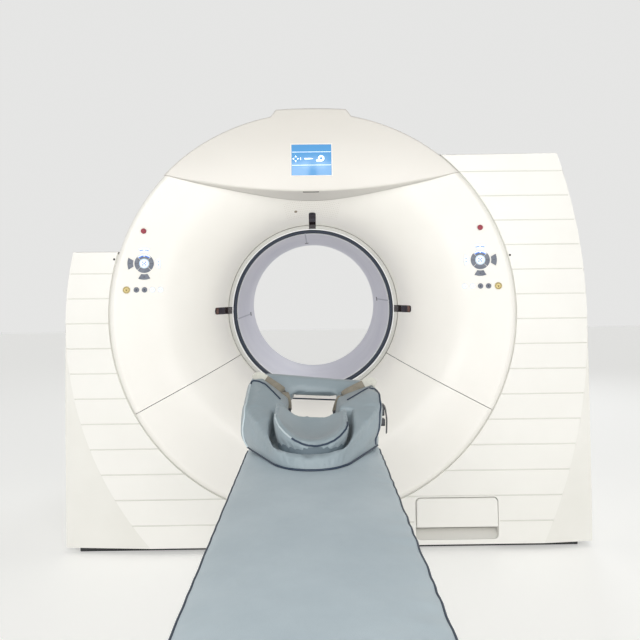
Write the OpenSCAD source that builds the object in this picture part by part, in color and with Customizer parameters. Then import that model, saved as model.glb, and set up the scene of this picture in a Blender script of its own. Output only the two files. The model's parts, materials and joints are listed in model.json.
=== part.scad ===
// Scanner gantry with a round bore, and its patient table.
// X is to the right, Y runs away from the table's foot through the bore, Z is up.
// The origin is on the floor, straight below the middle of the X-ray scan plane.

/* [Bore] */
// Height of the bore's axis above the floor
axis_z = 1080; // [1060:5:1120]
// Radius of the patient tunnel
tunnel_r = 388; // [370:1:395]
// Wall of the tunnel liner
tunnel_wall = 4; // [3:0.5:6]
// Where the tunnel ends at the back
tunnel_end_y = 806; // [780:2:830]
// Width of the dark seal round the tunnel's mouth
seal_w = 15; // [10:1:20]
// Width of the grey bezel outside the seal
bezel_w = 24; // [16:1:30]
// Gap between the bezel and the front covers
throat_gap = 0.8; // [0.4:0.1:1.5]
// Depth of the bezel and the seal
bezel_d = 26; // [18:1:36]

/* [Front dish] */
// Outer radius of the front disc
rim_r = 932; // [900:2:950]
// Where the front of the disc's rim stands
rim_y = -500; // [-520:2:-490]
// Round on the rim
rim_round = 26; // [18:1:36]
// Depth of the rim's side wall
rim_side = 66; // [50:2:90]
// Slope of the outer part of the dish
dish_slope = 12.5; // [10:0.5:14]
// Radius of the curve that turns the dish into the throat
dish_curve_r = 440; // [400:5:460]
// Slope at the throat
throat_slope = 72; // [66:1:76]
// Wall of the front covers
cover_wall = 5; // [3:0.5:7]
// Seam between the upper and the lower front cover
seam = 3; // [1:0.5:5]
// How far below the axis the two seam lines would meet
seam_drop = 31; // [10:1:60]
// Fall of each seam line from the middle outwards
seam_fall = 27.6; // [20:0.2:35]

/* [Display hood] */
// Height of the visor's middle above the axis
visor_z = 552; // [530:2:580]
// Radius of the visor's lower edge
visor_r = 2850; // [2400:50:3400]
// Tilt of the visor's underside
visor_tilt = 8; // [0:1:12]
// How far the hood stands in front of the rim
hood_proud = 3; // [1:0.5:6]
// Gap between the hood and the pieces round it
hood_gap = 0.8; // [0.4:0.1:1.5]
// Radius of the hood's lean backwards
hood_lean_r = 1700; // [1400:50:2200]
// Depth of the hood's rim behind the disc's front
hood_d = 176; // [160:2:190]
// Half width of the top cap
cap_half_w = 190; // [160:2:220]
// How far the top cap stands above the rim
cap_rise = 22; // [14:1:30]
// Bevel at the cap's corners
cap_bevel = 24; // [14:1:30]
// Width of the display
display_w = 184; // [150:2:220]
// Height of the display
display_h = 146; // [120:2:170]
// Height of the display's middle above the visor
display_up = 148; // [130:2:170]
// Depth of the display's pocket
display_d = 12; // [8:1:18]
// Play round the display
display_gap = 0.3; // [0.2:0.1:0.6]

/* [Laser windows] */
// Width of a laser window
laser_w = 34; // [24:1:40]
// Length of a laser window
laser_l = 52; // [40:1:60]

/* [Controls] */
// Distance of each control panel's middle inside the rim
panel_in = 157; // [150:1:164]
// Height of the key cluster above the axis
cluster_z = 229; // [220:1:240]
// Height of the stop button above the cluster
stop_up = 149; // [140:1:155]
// Drop of the key row below the cluster
row_down = 121; // [112:1:128]
// Spacing of the small round keys
row_pitch = 35; // [30:1:38]
// Distance of the gold key from the middle of the row
gold_off = 78; // [74:1:84]
// Radius of the small round keys
small_key_r = 12; // [9:0.5:14]
// Radius of the gold key
gold_key_r = 16; // [12:0.5:18]
// Radius of the stop button
stop_r = 12; // [10:0.5:20]
// Radius of the centre key
centre_key_r = 21; // [16:0.5:26]
// Outer radius of the collar round the centre key
collar_r = 43; // [38:0.5:46]
// Inner radius of the four arc keys
arc_in_r = 50; // [47:0.5:54]
// Outer radius of the four arc keys
arc_out_r = 74; // [66:0.5:80]
// Where the sides of an arc key would meet, from the cluster's middle
arc_apex = 26; // [20:1:32]
// Angle of an arc key's sides from its middle line
arc_flare = 31.5; // [26:0.5:36]
// Width of the slots that divide the collar
collar_slot = 2.4; // [1.6:0.2:3]
// Play between a key and its hole
key_gap = 0.4; // [0.2:0.1:0.6]
// How far the keys stand proud
key_proud = 3; // [2:0.5:5]
// How far a key reaches behind the cover's face
key_d = 11; // [8:0.5:14]
// Half width of a control plate
plate_half_w = 102; // [98:1:110]
// Play round a control plate
plate_gap = 0.4; // [0.3:0.1:0.8]

/* [Body shell] */
// Gap between the disc and the fairings
rim_gap = 6.5; // [4:0.5:9]
// How far the fairings' faces stand behind the rim
face_back = 20; // [14:1:30]
// Wall of the fairings
fairing_wall = 6; // [4:0.5:8]
// Where the fairings and the barrel end at the back
rear_y = 800; // [780:5:830]
// Gap between the fairings and the floor
floor_gap = 22; // [16:1:30]
// Right side's distance from the middle
right_x = 1262; // [1240:2:1280]
// Height of the right fairing's top above the axis
right_top = 723; // [700:1:740]
// Radius of the right face's outer edge
right_sweep_r = 2450; // [2300:50:2700]
// Left side's distance from the middle
left_x = 1133; // [1110:2:1150]
// Height of the left fairing's top above the axis
left_top = 285; // [260:1:320]
// Radius of the left face's outer edge
left_sweep_r = 1550; // [1450:50:1700]
// Where the faces' widest points are below the axis
sweep_drop = 30; // [0:2:50]
// How far the side facet falls back over its width
facet_back = 22; // [16:1:30]
// Width over which the facet falls back
facet_w = 230; // [200:5:260]
// Spacing of the grooves
groove_pitch = 114; // [110:1:118]
// Height of the lowest groove
groove_z = 124; // [120:1:130]
// Height of one groove
groove_h = 5; // [3:0.5:7]
// Depth of the grooves
groove_d = 3; // [2:0.5:4]
// Half width of the middle skirt
skirt_half_w = 300; // [280:5:320]
// Gap between the middle skirt and the fairings
skirt_gap = 2; // [1:0.5:4]
// How far the barrel shell reaches into the disc's rim
barrel_in_rim = 16; // [12:1:20]
// Gap where the barrel shell fits inside the disc's rim
barrel_gap = 0.6; // [0.4:0.1:1]
// Wall of the barrel shell
barrel_wall = 4; // [3:0.5:6]
// How far the barrel reaches below the axis on each side
barrel_dip = 35; // [30:1:38]

/* [Rear cover] */
// How far the rear cover stands behind the barrel
rear_proud = 52; // [40:2:60]
// Wall of the rear cover
rear_wall = 5; // [4:0.5:7]
// Width of the flare round the rear of the bore
rear_flare = 44; // [30:2:60]

/* [Drawer] */
// Distance of the drawer's recess from the disc's edge beside it
drawer_off = 68; // [63:1:83]
// Width of the drawer's recess
drawer_w = 375; // [360:1:385]
// Bottom of the drawer's recess
drawer_z = 44; // [38:1:48]
// Height of the drawer's recess
drawer_h = 188; // [180:1:192]
// Height of the finger gap below the drawer
finger_gap = 54; // [45:1:60]
// Gap round the drawer's front
drawer_gap = 3; // [2:0.5:5]
// Depth of the drawer's recess
drawer_d = 330; // [300:5:350]
// Round on the drawer's top corners
drawer_round = 22; // [14:1:28]
// Wall of the drawer
drawer_wall = 3; // [2:0.5:4]

/* [Steel frame] */
// Gap between a piece and the one that it rests on or against
seat_gap = 0.3; // [0.2:0.1:0.5]
// Thickness of the base plate
base_t = 20; // [14:1:21]
// Radius of the anchor holes
anchor_r = 9; // [7:0.5:12]
// Spacing of the anchor holes across
anchor_x = 1800; // [1700:10:1900]
// Spacing of the anchor holes along the bore
anchor_y = 800; // [700:10:900]
// Radius of the rotor's journal
journal_r = 700; // [690:1:710]
// Running clearance of the rotor's journal
journal_gap = 0.3; // [0.2:0.1:0.5]
// Wall of the stator ring
stator_wall = 95; // [80:1:105]
// Depth of the stator ring
stator_d = 60; // [50:1:70]
// Gap between the rotor and the tunnel
rotor_in = 36; // [24:1:46]
// Thickness of the rotor's plate
rotor_t = 30; // [24:1:36]
// Depth of the detectors and the tube housing on the rotor
rotor_front = 100; // [80:5:110]
// Distance of the motor's shaft outside the rotor's journal
motor_out = 152; // [145:1:160]
// Angle of the motor's shaft below the horizontal
motor_angle = 54; // [50:1:58]
// Length of the motor
motor_l = 170; // [150:5:180]
// Height of the pads that the stator stands on
pad_h = 40; // [30:2:50]
// Half width of the pads that the stator stands on
pad_half_w = 150; // [140:5:160]
// Distance of the pads' middles from the middle plane
pad_x = 690; // [680:5:700]
// Radius of the motor's pulley
pulley_r = 50; // [40:1:56]
// Radius of the motor's shaft
shaft_r = 16; // [12:1:20]
// Radius of the motor's body
motor_r = 78; // [70:1:90]
// Thickness of the drive belt
belt_t = 5; // [3:0.5:7]
// Width of the drive belt
belt_w = 40; // [30:1:46]
// Thickness of the slow detector ring
ring_t = 190; // [170:5:210]
// Where the slow detector ring stands
ring_y = 280; // [270:5:300]
// Depth of the slow detector ring
ring_d = 220; // [180:5:240]
// Distance of a ring leg's top from the middle plane
ring_leg_x = 250; // [240:5:260]
// Width of a ring leg
ring_leg_w = 180; // [170:5:190]
// How far a ring leg leans outwards
ring_leg_lean = 40; // [30:5:50]
// Depth below the axis of a ring leg's inner top corner
ring_leg_drop = 480; // [470:5:490]
// How much higher the outer top corner of a ring leg is
ring_leg_rise = 80; // [70:5:90]
// Distance of a ring leg's faces from the ring's faces
ring_leg_set = 30; // [25:1:35]
// Depth of the detector arc along the bore
arc_d = 70; // [60:1:80]
// Thickness of the detector arc
arc_t = 70; // [60:1:72]
// Distance of the detector arc inside the journal's radius
arc_in = 40; // [36:1:46]
// Half angle of the detector arc
arc_half = 42; // [36:1:45]
// Thickness of the detectors' face strip
arc_face_t = 16; // [12:1:18]
// Distance of the face strip from the arc's ends
arc_face_set = 12; // [8:1:16]
// Width of a generator box
generator_w = 240; // [220:5:250]
// Angle of a generator box from the top
generator_turn = 100; // [96:1:104]
// Distance of a generator box from the drum
generator_in = 20; // [15:1:25]
// Distance of a generator box inside the journal's radius
generator_out = 50; // [40:1:55]

/* [Table] */
// Height of the mattress's top
mattress_z = 714; // [700:2:720]
// Thickness of the mattress
mattress_t = 50; // [40:1:60]
// Width of the mattress
mattress_w = 424; // [400:2:440]
// Thickness of the pallet
pallet_t = 50; // [40:1:60]
// Width of the pallet
pallet_w = 404; // [380:2:410]
// Head end of the pallet
pallet_head_y = -1290; // [-1310:5:-1280]
// Foot end of the pallet
pallet_foot_y = -3470; // [-3520:5:-3440]
// Head end of the mattress
mattress_head_y = -1480; // [-1500:5:-1470]
// Middle of the lifting column
column_y = -2860; // [-2900:5:-2820]
// Width of the column's outer tube
column_w = 190; // [170:2:210]
// Wall of the column's tubes
column_wall = 14; // [10:1:18]
// Running gap between the column's tubes
column_gap = 0.4; // [0.3:0.1:0.6]
// Half width of the lower skirt
skirt_x = 205; // [190:1:210]
// Half length of the lower skirt
skirt_l = 420; // [380:5:460]
// Wall of the skirts
skirt_wall = 3; // [2:0.5:4]
// Gap between two skirts
skirt_play = 3; // [2:0.5:5]
// Thickness of the floor plate under the rails
floor_t = 15; // [10:1:18]
// Half width of the floor plate
floor_half_w = 320; // [300:5:340]
// Distance of each rail from the middle
rail_x = 180; // [160:5:200]
// Width of a rail's head
rail_w = 40; // [34:1:46]
// Height of a rail
rail_h = 40; // [34:1:46]
// Running gap between a rail and its shoes
rail_gap = 0.4; // [0.3:0.1:0.6]
// Where the rails end near the gantry
rail_end_y = -640; // [-700:10:-600]
// Thickness of the carriage's plate
carriage_t = 25; // [20:1:30]
// Height of the lower skirt
lower_skirt_h = 250; // [240:2:260]
// Room between the middle skirt's top and the beam
stage_room = 145; // [140:1:160]
// Height of the beam under the pallet at the column
beam_h = 45; // [36:1:50]
// Thickness of the plate on top of the column
head_t = 10; // [8:1:14]
// Travel that the lift has upwards
lift_up = 200; // [150:10:200]
// Travel that the lift has downwards
lift_down = 150; // [100:10:150]

/* [Head and arm support] */
// Width of the head and arm support
support_w = 424; // [400:2:436]
// Front end of the support
support_front_y = -1826; // [-1840:2:-1810]
// Back end of the support
support_back_y = -1262; // [-1275:1:-1255]
// Height of the support's front lip above the mattress
lip_h = 42; // [30:1:55]
// Distance from the front end to the middle of the ramp
ramp_run = 262; // [250:2:275]
// Height of the ramp's middle above the mattress
ramp_h = 120; // [112:1:128]
// Distance from the front end to the ramp's top
wing_run = 426; // [415:1:436]
// Height of the support's back edge above the mattress
wing_h = 168; // [150:2:180]
// Angle by which the back edge leans to one side
wing_lean = 5; // [0:0.5:6]
// Where the wings start to fall towards the middle
wing_tip_x = 186; // [176:1:196]
// Height of a wing's inner edge above the mattress
wing_inner_h = 118; // [112:1:124]
// Depth of the arch
arch_d = 96; // [84:2:104]
// Height of the arch's underside above the mattress
arch_under = 112; // [104:1:117]
// Half width of the opening between the wings
gap_half_w = 80; // [74:1:86]
// Radius of the support's round front
nose_r = 125; // [115:1:135]
// Length over which the front widens to the support's width
nose_run = 270; // [250:5:290]
// Height of the cradle's recess above the mattress
recess_h = 30; // [26:1:34]
// Play round the cradle in its recess
recess_play = 22; // [16:1:28]
// Radius of the head cradle's front
cradle_r = 100; // [94:1:104]
// Distance from the support's front end to the middle of the cradle's front radius
cradle_run = 136; // [130:1:142]
// Length of the cradle's straight part
cradle_l = 90; // [80:2:100]
// Height of the cradle's front above the mattress
cradle_front_h = 51; // [46:1:56]
// Height of the cradle's back above the mattress
cradle_back_h = 94; // [88:1:100]
// Radius of the cradle's hollow face
cradle_hollow_r = 170; // [150:5:200]
// Width of a strap
strap_w = 24; // [18:1:30]
// Thickness of a strap
strap_t = 3; // [2:0.5:4]
// Height of a buckle
buckle_h = 34; // [28:1:40]

/* [Hidden] */
SIDES = ["left", "right"];
KEYS = ["stop_button", "centre_key", "up_key", "down_key", "out_key", "in_key",
        "gold_key", "row_key_1", "row_key_2", "row_key_3", "row_key_4"];
$fn = 96;

eps = 1;
far = 3000;
WHITE = [0.93, 0.93, 0.91];
LIGHT = [0.86, 0.86, 0.84];
GREY = [0.62, 0.64, 0.66];
DARK = [0.14, 0.15, 0.17];
STEEL = [0.55, 0.57, 0.6];
PAD = [0.58, 0.65, 0.69];

seal_r = tunnel_r + seal_w;
bezel_r = seal_r + bezel_w;
throat_r = bezel_r + throat_gap;

// The dish's profile: a cone from the rim, then an arc into the throat
lip_r = rim_r - rim_round;
curve_r = throat_r + dish_curve_r * (sin(throat_slope) - sin(dish_slope));
curve_y = rim_y + (lip_r - curve_r) * tan(dish_slope);
throat_y = curve_y + dish_curve_r * (cos(dish_slope) - cos(throat_slope));
function dish_angle(r) = r >= curve_r ? dish_slope
    : asin(min(sin(throat_slope), sin(dish_slope) + (curve_r - r) / dish_curve_r));
function dish_y(r) = r >= curve_r ? rim_y + (lip_r - r) * tan(dish_slope)
    : curve_y + dish_curve_r * (cos(dish_slope) - cos(dish_angle(r)));
barrel_r = rim_r - cover_wall - barrel_gap;
barrel_in = barrel_r - barrel_wall;
// The recess stands beside the disc's edge at the height of its own top
drawer_x = drawer_off + round(sqrt(pow(rim_r, 2) - pow(axis_z - drawer_z - drawer_h, 2)));
barrel_front = rim_y + rim_side - barrel_in_rim;
panel_x = rim_r - panel_in;
curve_steps = 14;
curve_angles = [for (i = [0:curve_steps])
    dish_slope + (throat_slope - dish_slope) * i / curve_steps];
// Points of the dish's face moved back into the cover by depth t
function dish_points(t) = [for (a = curve_angles)
    [curve_r - dish_curve_r * (sin(a) - sin(dish_slope)) + t * sin(a),
     curve_y + dish_curve_r * (cos(dish_slope) - cos(a)) + t * cos(a)]];
function reversed(list) = [for (i = [len(list) - 1:-1:0]) list[i]];

module around_bore() {
    translate([0, 0, axis_z]) rotate([-90, 0, 0]) children();
}

// Turns a profile of [radius, y] round the bore's axis, all the way
module revolve(points) {
    around_bore() rotate_extrude($fn = 180) polygon(points);
}

// Turns a profile from angle from_a to angle to_a, counted from +X towards +Z
module revolve_arc(points, from_a, to_a) {
    around_bore() rotate_extrude(start = -to_a, angle = to_a - from_a, $fn = 180) polygon(points);
}

// A round bar along Y between two places
module bar_y(r, y0, y1, x = 0, z = axis_z, r_end = -1) {
    translate([x, y0, z]) rotate([-90, 0, 0])
        cylinder(r1 = r, r2 = r_end < 0 ? r : r_end, h = y1 - y0, $fn = 180);
}

// A front view, with its second coordinate up, made solid between two places along Y
module front_prism(y0, y1) {
    translate([0, y1, 0]) rotate([90, 0, 0]) linear_extrude(y1 - y0) children();
}

module block(x0, x1, y0, y1, z0, z1) {
    translate([x0, y0, z0]) cube([x1 - x0, y1 - y0, z1 - z0]);
}

// A rectangle with round corners, from its corner points
module round_rect(x0, x1, y0, y1, r) {
    translate([x0 + r, y0]) square([x1 - x0 - 2 * r, y1 - y0]);
    translate([x0, y0 + r]) square([x1 - x0, y1 - y0 - 2 * r]);
    for (x = [x0 + r, x1 - r], y = [y0 + r, y1 - r]) translate([x, y]) circle(r, $fn = 48);
}

// Moves to a point of the dish's face and turns local Z out of it, with local Y up
module on_dish(x, z) {
    r = norm([x, z]);
    translate([x, dish_y(r), axis_z + z])
        rotate([0, -atan2(z, x), 0]) rotate([0, 0, -dish_angle(r)])
            rotate([90, 0, 0]) rotate([0, 0, -atan2(z, x)]) children();
}

/* Front covers */
module dish_shell() {
    revolve(concat(
        [[rim_r, rim_y + rim_side],
         [rim_r, rim_y + rim_round],
         for (a = [75:-15:0]) [lip_r + rim_round * sin(a), rim_y + rim_round * (1 - cos(a))]],
        dish_points(0),
        reversed(dish_points(cover_wall)),
        [[lip_r - cover_wall * sin(dish_slope), rim_y + 2 * cover_wall],
         [rim_r - cover_wall, rim_y + rim_round + cover_wall],
         [rim_r - cover_wall, rim_y + rim_side]]));
}

// Front view of what the lower cover takes, grown by g
module lower_sector(g) {
    drop = far * tan(seam_fall);
    polygon([[0, axis_z - seam_drop + g],
             [far, axis_z - seam_drop - drop + g],
             [far, axis_z - far], [-far, axis_z - far],
             [-far, axis_z - seam_drop - drop + g]]);
}

// All that is above the visor's lower edge, shrunk by g
module visor_volume(g) {
    translate([0, rim_y, axis_z + visor_z + visor_r / cos(visor_tilt)])
        rotate([-90 - visor_tilt, 0, 0])
            cylinder(r = visor_r - g, h = far, center = true, $fn = 360);
}

module laser_cut(g, y1) {
    for (a = [0, 90, 180])
        around_bore() rotate([0, 0, -a])
            translate([throat_r - 2 * laser_w, 0, -far]) linear_extrude(far + y1) {
                translate([0, -laser_w / 2 - g])
                    square([2 * laser_w + laser_l - laser_w / 2, laser_w + 2 * g]);
                translate([2 * laser_w + laser_l - laser_w / 2, 0]) circle(laser_w / 2 + g);
            }
}

// The plate's outline in a front view, grown by g
module plate_outline(side, g) {
    z0 = axis_z + cluster_z - row_down - 2 * gold_key_r;
    z1 = axis_z + cluster_z + stop_up + 2 * gold_key_r;
    mid = side * panel_x;
    intersection() {
        round_rect(mid - plate_half_w - g, mid + plate_half_w + g, z0 - g, z1 + g, 14 + g);
        translate([0, axis_z]) circle(lip_r - 8 + g, $fn = 180);
    }
}

module front_cover_upper() {
    color(WHITE) difference() {
        dish_shell();
        front_prism(rim_y - eps, rim_y + far) lower_sector(seam / 2);
        visor_volume(-hood_gap);
        laser_cut(key_gap, throat_y + bezel_d);
        for (side = [-1, 1])
            front_prism(rim_y - eps, rim_y + far) plate_outline(side, plate_gap);
    }
}

module front_cover_lower() {
    color(WHITE) intersection() {
        dish_shell();
        front_prism(rim_y - eps, rim_y + far) lower_sector(-seam / 2);
    }
}

module bore_bezel() {
    color(GREY) difference() {
        revolve([[seal_r, throat_y + bezel_d], [seal_r, throat_y + 4], [seal_r + 6, throat_y - 3],
                 [bezel_r - 4, throat_y - 3], [bezel_r, throat_y + 3],
                 [bezel_r, throat_y + bezel_d]]);
        laser_cut(key_gap, throat_y + bezel_d);
    }
}

module bore_seal() {
    color(DARK) revolve([[tunnel_r, throat_y + bezel_d], [tunnel_r, throat_y + 9],
                         [tunnel_r + 5, throat_y + 4], [seal_r - 4, throat_y + 4],
                         [seal_r - key_gap, throat_y + 8], [seal_r - key_gap, throat_y + bezel_d]]);
}

// Dark panes that follow the dish's face at the top and on both sides
module laser_windows() {
    color([0.12, 0.05, 0.05]) intersection() {
        revolve(concat(dish_points(2), [[seal_r + 2, throat_y + 2], [seal_r + 2, throat_y + 8]],
                       reversed(dish_points(2 * cover_wall))));
        difference() {
            laser_cut(0, throat_y + bezel_d);
            bar_y(seal_r + key_gap, rim_y - eps, throat_y + 2 * bezel_d);
        }
    }
}

module tunnel_liner() {
    y0 = throat_y + bezel_d;
    color(WHITE) revolve([[tunnel_r, y0], [tunnel_r, tunnel_end_y],
                          [tunnel_r + tunnel_wall, tunnel_end_y],
                          [tunnel_r + tunnel_wall, y0 + tunnel_wall],
                          [bezel_r, y0 + tunnel_wall], [bezel_r, y0]]);
}

/* Hood and display */
hood_y = rim_y - hood_proud;
hood_back_y = rim_y + hood_d;
display_z = axis_z + visor_z + display_up;
display_face_y = hood_y + hood_lean_r - sqrt(pow(hood_lean_r, 2) - pow(display_up, 2)) + 1;
display_tilt = asin(display_up / hood_lean_r);

// Front view of the top cap, shrunk by g
module cap_outline(g) {
    w = cap_half_w - g;
    top = axis_z + rim_r + cap_rise - g;
    side_z = axis_z + sqrt(pow(rim_r, 2) - pow(cap_half_w, 2));
    polygon([[-w, axis_z + visor_z + display_up], [-w, side_z - g], [-w + cap_bevel, top - 6],
             [-w / 2, top - 2], [0, top], [w / 2, top - 2],
             [w - cap_bevel, top - 6], [w, side_z - g], [w, axis_z + visor_z + display_up]]);
}

module hood_volume(g) {
    intersection() {
        visor_volume(g);
        union() {
            bar_y(rim_r - g, rim_y - far, hood_back_y);
            front_prism(rim_y - far, hood_back_y) cap_outline(g);
        }
        translate([0, hood_y + hood_lean_r, axis_z + visor_z]) rotate([0, 90, 0])
            cylinder(r = hood_lean_r - g, h = far, center = true, $fn = 360);
    }
}

module display_frame() {
    translate([0, display_face_y, display_z]) rotate([-display_tilt, 0, 0]) children();
}

module display_hood() {
    color(WHITE) difference() {
        hood_volume(0);
        difference() {
            hood_volume(cover_wall);
            display_frame() block(-display_w / 2 - 3 * cover_wall,
                display_w / 2 + 3 * cover_wall, -far, display_d + cover_wall,
                -display_h / 2 - 3 * cover_wall, display_h / 2 + 3 * cover_wall);
        }
        bar_y(rim_r + far, hood_back_y - eps, far);
        // Room for the barrel shell where it passes through the visor's wall
        revolve([[barrel_in - hood_gap, barrel_front - hood_gap],
                 [barrel_r + barrel_gap - 0.2, barrel_front - hood_gap],
                 [barrel_r + barrel_gap - 0.2, hood_back_y + eps],
                 [barrel_in - hood_gap, hood_back_y + eps]]);
        display_frame() block(-display_w / 2 - display_gap, display_w / 2 + display_gap,
            -far, display_d, -display_h / 2 - display_gap, display_h / 2 + display_gap);
    }
}

module display_screen() {
    color([0.35, 0.7, 0.95]) display_frame()
        block(-display_w / 2, display_w / 2, 2, display_d,
              -display_h / 2, display_h / 2);
}

/* Keys */
function is_arc(key) = key == "up_key" || key == "down_key" || key == "out_key" || key == "in_key";
function key_x(key) = panel_x + (key == "gold_key" ? gold_off : key == "row_key_1" ? row_pitch
    : key == "row_key_3" ? -row_pitch : key == "row_key_4" ? -2 * row_pitch : 0);
function key_z(key) = key == "stop_button" ? cluster_z + stop_up
    : is_arc(key) || key == "centre_key" ? cluster_z : cluster_z - row_down;

// Calls its children at a key's place on the dish
module at_key(side, key) {
    on_dish(side * key_x(key), key_z(key)) children();
}

function key_r(key) = key == "gold_key" ? gold_key_r : key == "stop_button" ? stop_r
    : key == "centre_key" ? centre_key_r : small_key_r;
function arc_turn(side, key) = key == "up_key" ? 90 : key == "down_key" ? 270
    : (key == "out_key") == (side > 0) ? 0 : 180;

// A key's outline grown by g; the arc keys lie round the cluster's middle
module key_outline(side, key, g) {
    if (is_arc(key))
        intersection() {
            difference() {
                circle(arc_out_r + g, $fn = 96);
                circle(arc_in_r - g, $fn = 96);
            }
            rotate(arc_turn(side, key)) {
                tip = arc_apex - g / sin(arc_flare);
                spread = 2 * arc_out_r * tan(arc_flare);
                polygon([[tip, 0], [tip + 2 * arc_out_r, -spread], [tip + 2 * arc_out_r, spread]]);
            }
        }
    else
        circle(key_r(key) + g, $fn = 64);
}

// One key: a shallow bevelled cap on its stem
module key_body(side, key) {
    if (is_arc(key)) {
        translate([0, 0, -key_d]) linear_extrude(key_d + key_proud) key_outline(side, key, 0);
    } else if (key == "stop_button") {
        translate([0, 0, -key_d]) cylinder(r = stop_r - 3, h = key_d + 2, $fn = 64);
        translate([0, 0, -2]) cylinder(r = stop_r, h = key_proud + 6, $fn = 64);
    } else {
        translate([0, 0, -key_d])
            cylinder(r = key_r(key), h = key_d + key_proud - 1, $fn = 64);
        translate([0, 0, key_proud - 1])
            cylinder(r1 = key_r(key), r2 = key_r(key) - 1.5, h = 1, $fn = 64);
    }
}

function key_color(key) = key == "stop_button" ? [0.5, 0.05, 0.07]
    : key == "gold_key" ? [0.72, 0.6, 0.38]
    : key == "centre_key" || key == "up_key" ? [0.75, 0.88, 0.98] : [0.45, 0.47, 0.5];

module control_key(side, key) {
    color(key_color(key)) at_key(side, key) key_body(side, key);
}

// The part of the dish that carries the keys, with the collar round the centre key
module control_plate(side) {
    color(LIGHT) {
        difference() {
            intersection() {
                dish_shell();
                front_prism(rim_y - eps, rim_y + far) plate_outline(side, 0);
            }
            for (key = KEYS) at_key(side, key)
                translate([0, 0, -2 * key_d]) linear_extrude(4 * key_d)
                    key_outline(side, key, key_gap);
        }
        on_dish(side * panel_x, cluster_z) translate([0, 0, -cover_wall]) difference() {
            cylinder(r = collar_r, h = cover_wall + key_proud - 1, $fn = 96);
            translate([0, 0, -eps])
                cylinder(r = centre_key_r + key_gap, h = 3 * cover_wall, $fn = 64);
            for (a = [45:90:315]) rotate(a)
                translate([centre_key_r, -collar_slot / 2, cover_wall + key_proud - 1.5 - eps])
                    cube([collar_r, collar_slot, 2 * cover_wall]);
        }
    }
}

/* Body shell */
face_y = rim_y + face_back;
cut_r = rim_r + rim_gap;
facet_run = far / 2;

// The space of one fairing, with its sides moved in by g
module fairing_space(side, side_x, top, sweep_r, g) {
    mid_x = side * (side_x - sweep_r);
    mid_z = axis_z - sweep_drop;
    steep = facet_back / facet_w;
    intersection() {
        if (side > 0)
            block(skirt_half_w - (g > 0 ? far : 0), side_x - g, face_y + g, rear_y - g,
                  floor_gap - (g > 0 ? far : 0), axis_z + top - g);
        else
            block(-side_x + g, -skirt_half_w + (g > 0 ? far : 0), face_y + g, rear_y - g,
                  floor_gap - (g > 0 ? far : 0), axis_z + top - g);
        union() {
            bar_y(sweep_r - g, face_y + g, face_y + g + facet_run * steep, mid_x, mid_z,
                  sweep_r - g + facet_run);
            bar_y(far * 2, face_y + g + facet_run * steep - eps, rear_y + eps, mid_x, mid_z);
        }
    }
}

module fairing(side, side_x, top, sweep_r) {
    count = floor((axis_z + top - groove_z) / groove_pitch);
    difference() {
        fairing_space(side, side_x, top, sweep_r, 0);
        bar_y(cut_r, face_y - eps, rear_y + eps);
        difference() {
            fairing_space(side, side_x, top, sweep_r, fairing_wall);
            bar_y(cut_r + fairing_wall, face_y - eps, face_y + 10 * fairing_wall);
        }
        intersection() {
            for (k = [0:count]) block(-far, far, face_y - eps, face_y + groove_d,
                groove_z + k * groove_pitch - groove_h / 2,
                groove_z + k * groove_pitch + groove_h / 2);
            bar_y(sweep_r - eps, face_y - eps, face_y + groove_d,
                  side * (side_x - sweep_r), axis_z - sweep_drop);
        }
    }
}

// Brackets inside a fairing that stand on the base plate
module fairing_feet(side, side_x) {
    mid = side * (side_x - 60);
    for (y = [face_y + 90, rear_y - 150])
        block(mid - 57, mid + 57, y, y + 60, base_t, base_t + 50);
}

module left_fairing() {
    color(WHITE) {
        fairing(-1, left_x, left_top, left_sweep_r);
        fairing_feet(-1, left_x);
    }
}

// Front view of the drawer's recess, shrunk by g
module recess_outline(g) {
    round_rect(drawer_x + g, drawer_x + drawer_w - g, drawer_z + g, drawer_z + drawer_h - g,
               drawer_round - g);
}

module right_fairing() {
    color(WHITE) {
        difference() {
            fairing(1, right_x, right_top, right_sweep_r);
            front_prism(face_y - eps, face_y + 2 * fairing_wall) recess_outline(0);
        }
        difference() {
            front_prism(face_y, face_y + drawer_d + fairing_wall) recess_outline(-fairing_wall);
            front_prism(face_y - eps, face_y + drawer_d) recess_outline(0);
        }
        fairing_feet(1, right_x);
        // The drawer's two runners
        for (x = [drawer_x, drawer_x + drawer_w - 40])
            block(x, x + 40, face_y + 30, face_y + drawer_d - 1, drawer_z + finger_gap - 10,
                  drawer_z + finger_gap + 6 - rail_gap);
        // The sloped sill that the fingers slide in over
        difference() {
            front_prism(face_y + 2, face_y + 60) intersection() {
                recess_outline(0);
                square([2 * far, drawer_z + 34]);
            }
            translate([0, face_y + 4, drawer_z]) rotate([30, 0, 0])
                block(0, far, -far, far, 0, far);
        }
    }
}

module middle_skirts() {
    w = skirt_half_w - skirt_gap;
    color(LIGHT) {
        difference() {
            block(-w, w, face_y, face_y + fairing_wall, floor_gap, axis_z - cut_r + 70);
            bar_y(cut_r, face_y - eps, face_y + 2 * fairing_wall);
        }
        difference() {
            block(-w, w, rear_y - fairing_wall, rear_y, floor_gap, axis_z - cut_r + 70);
            bar_y(cut_r, rear_y - 2 * fairing_wall, rear_y + eps);
        }
        for (m = [-1, 1]) block(m * (w - 40) - 20, m * (w - 40) + 20, face_y + fairing_wall,
                                rear_y - fairing_wall, base_t, floor_gap + 30);
    }
}

module barrel_shell() {
    color(LIGHT) revolve_arc([[barrel_r, barrel_front], [barrel_r, rear_y],
                              [barrel_r - barrel_wall, rear_y],
                              [barrel_r - barrel_wall, barrel_front]],
                             -barrel_dip, 180 + barrel_dip);
}

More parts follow.
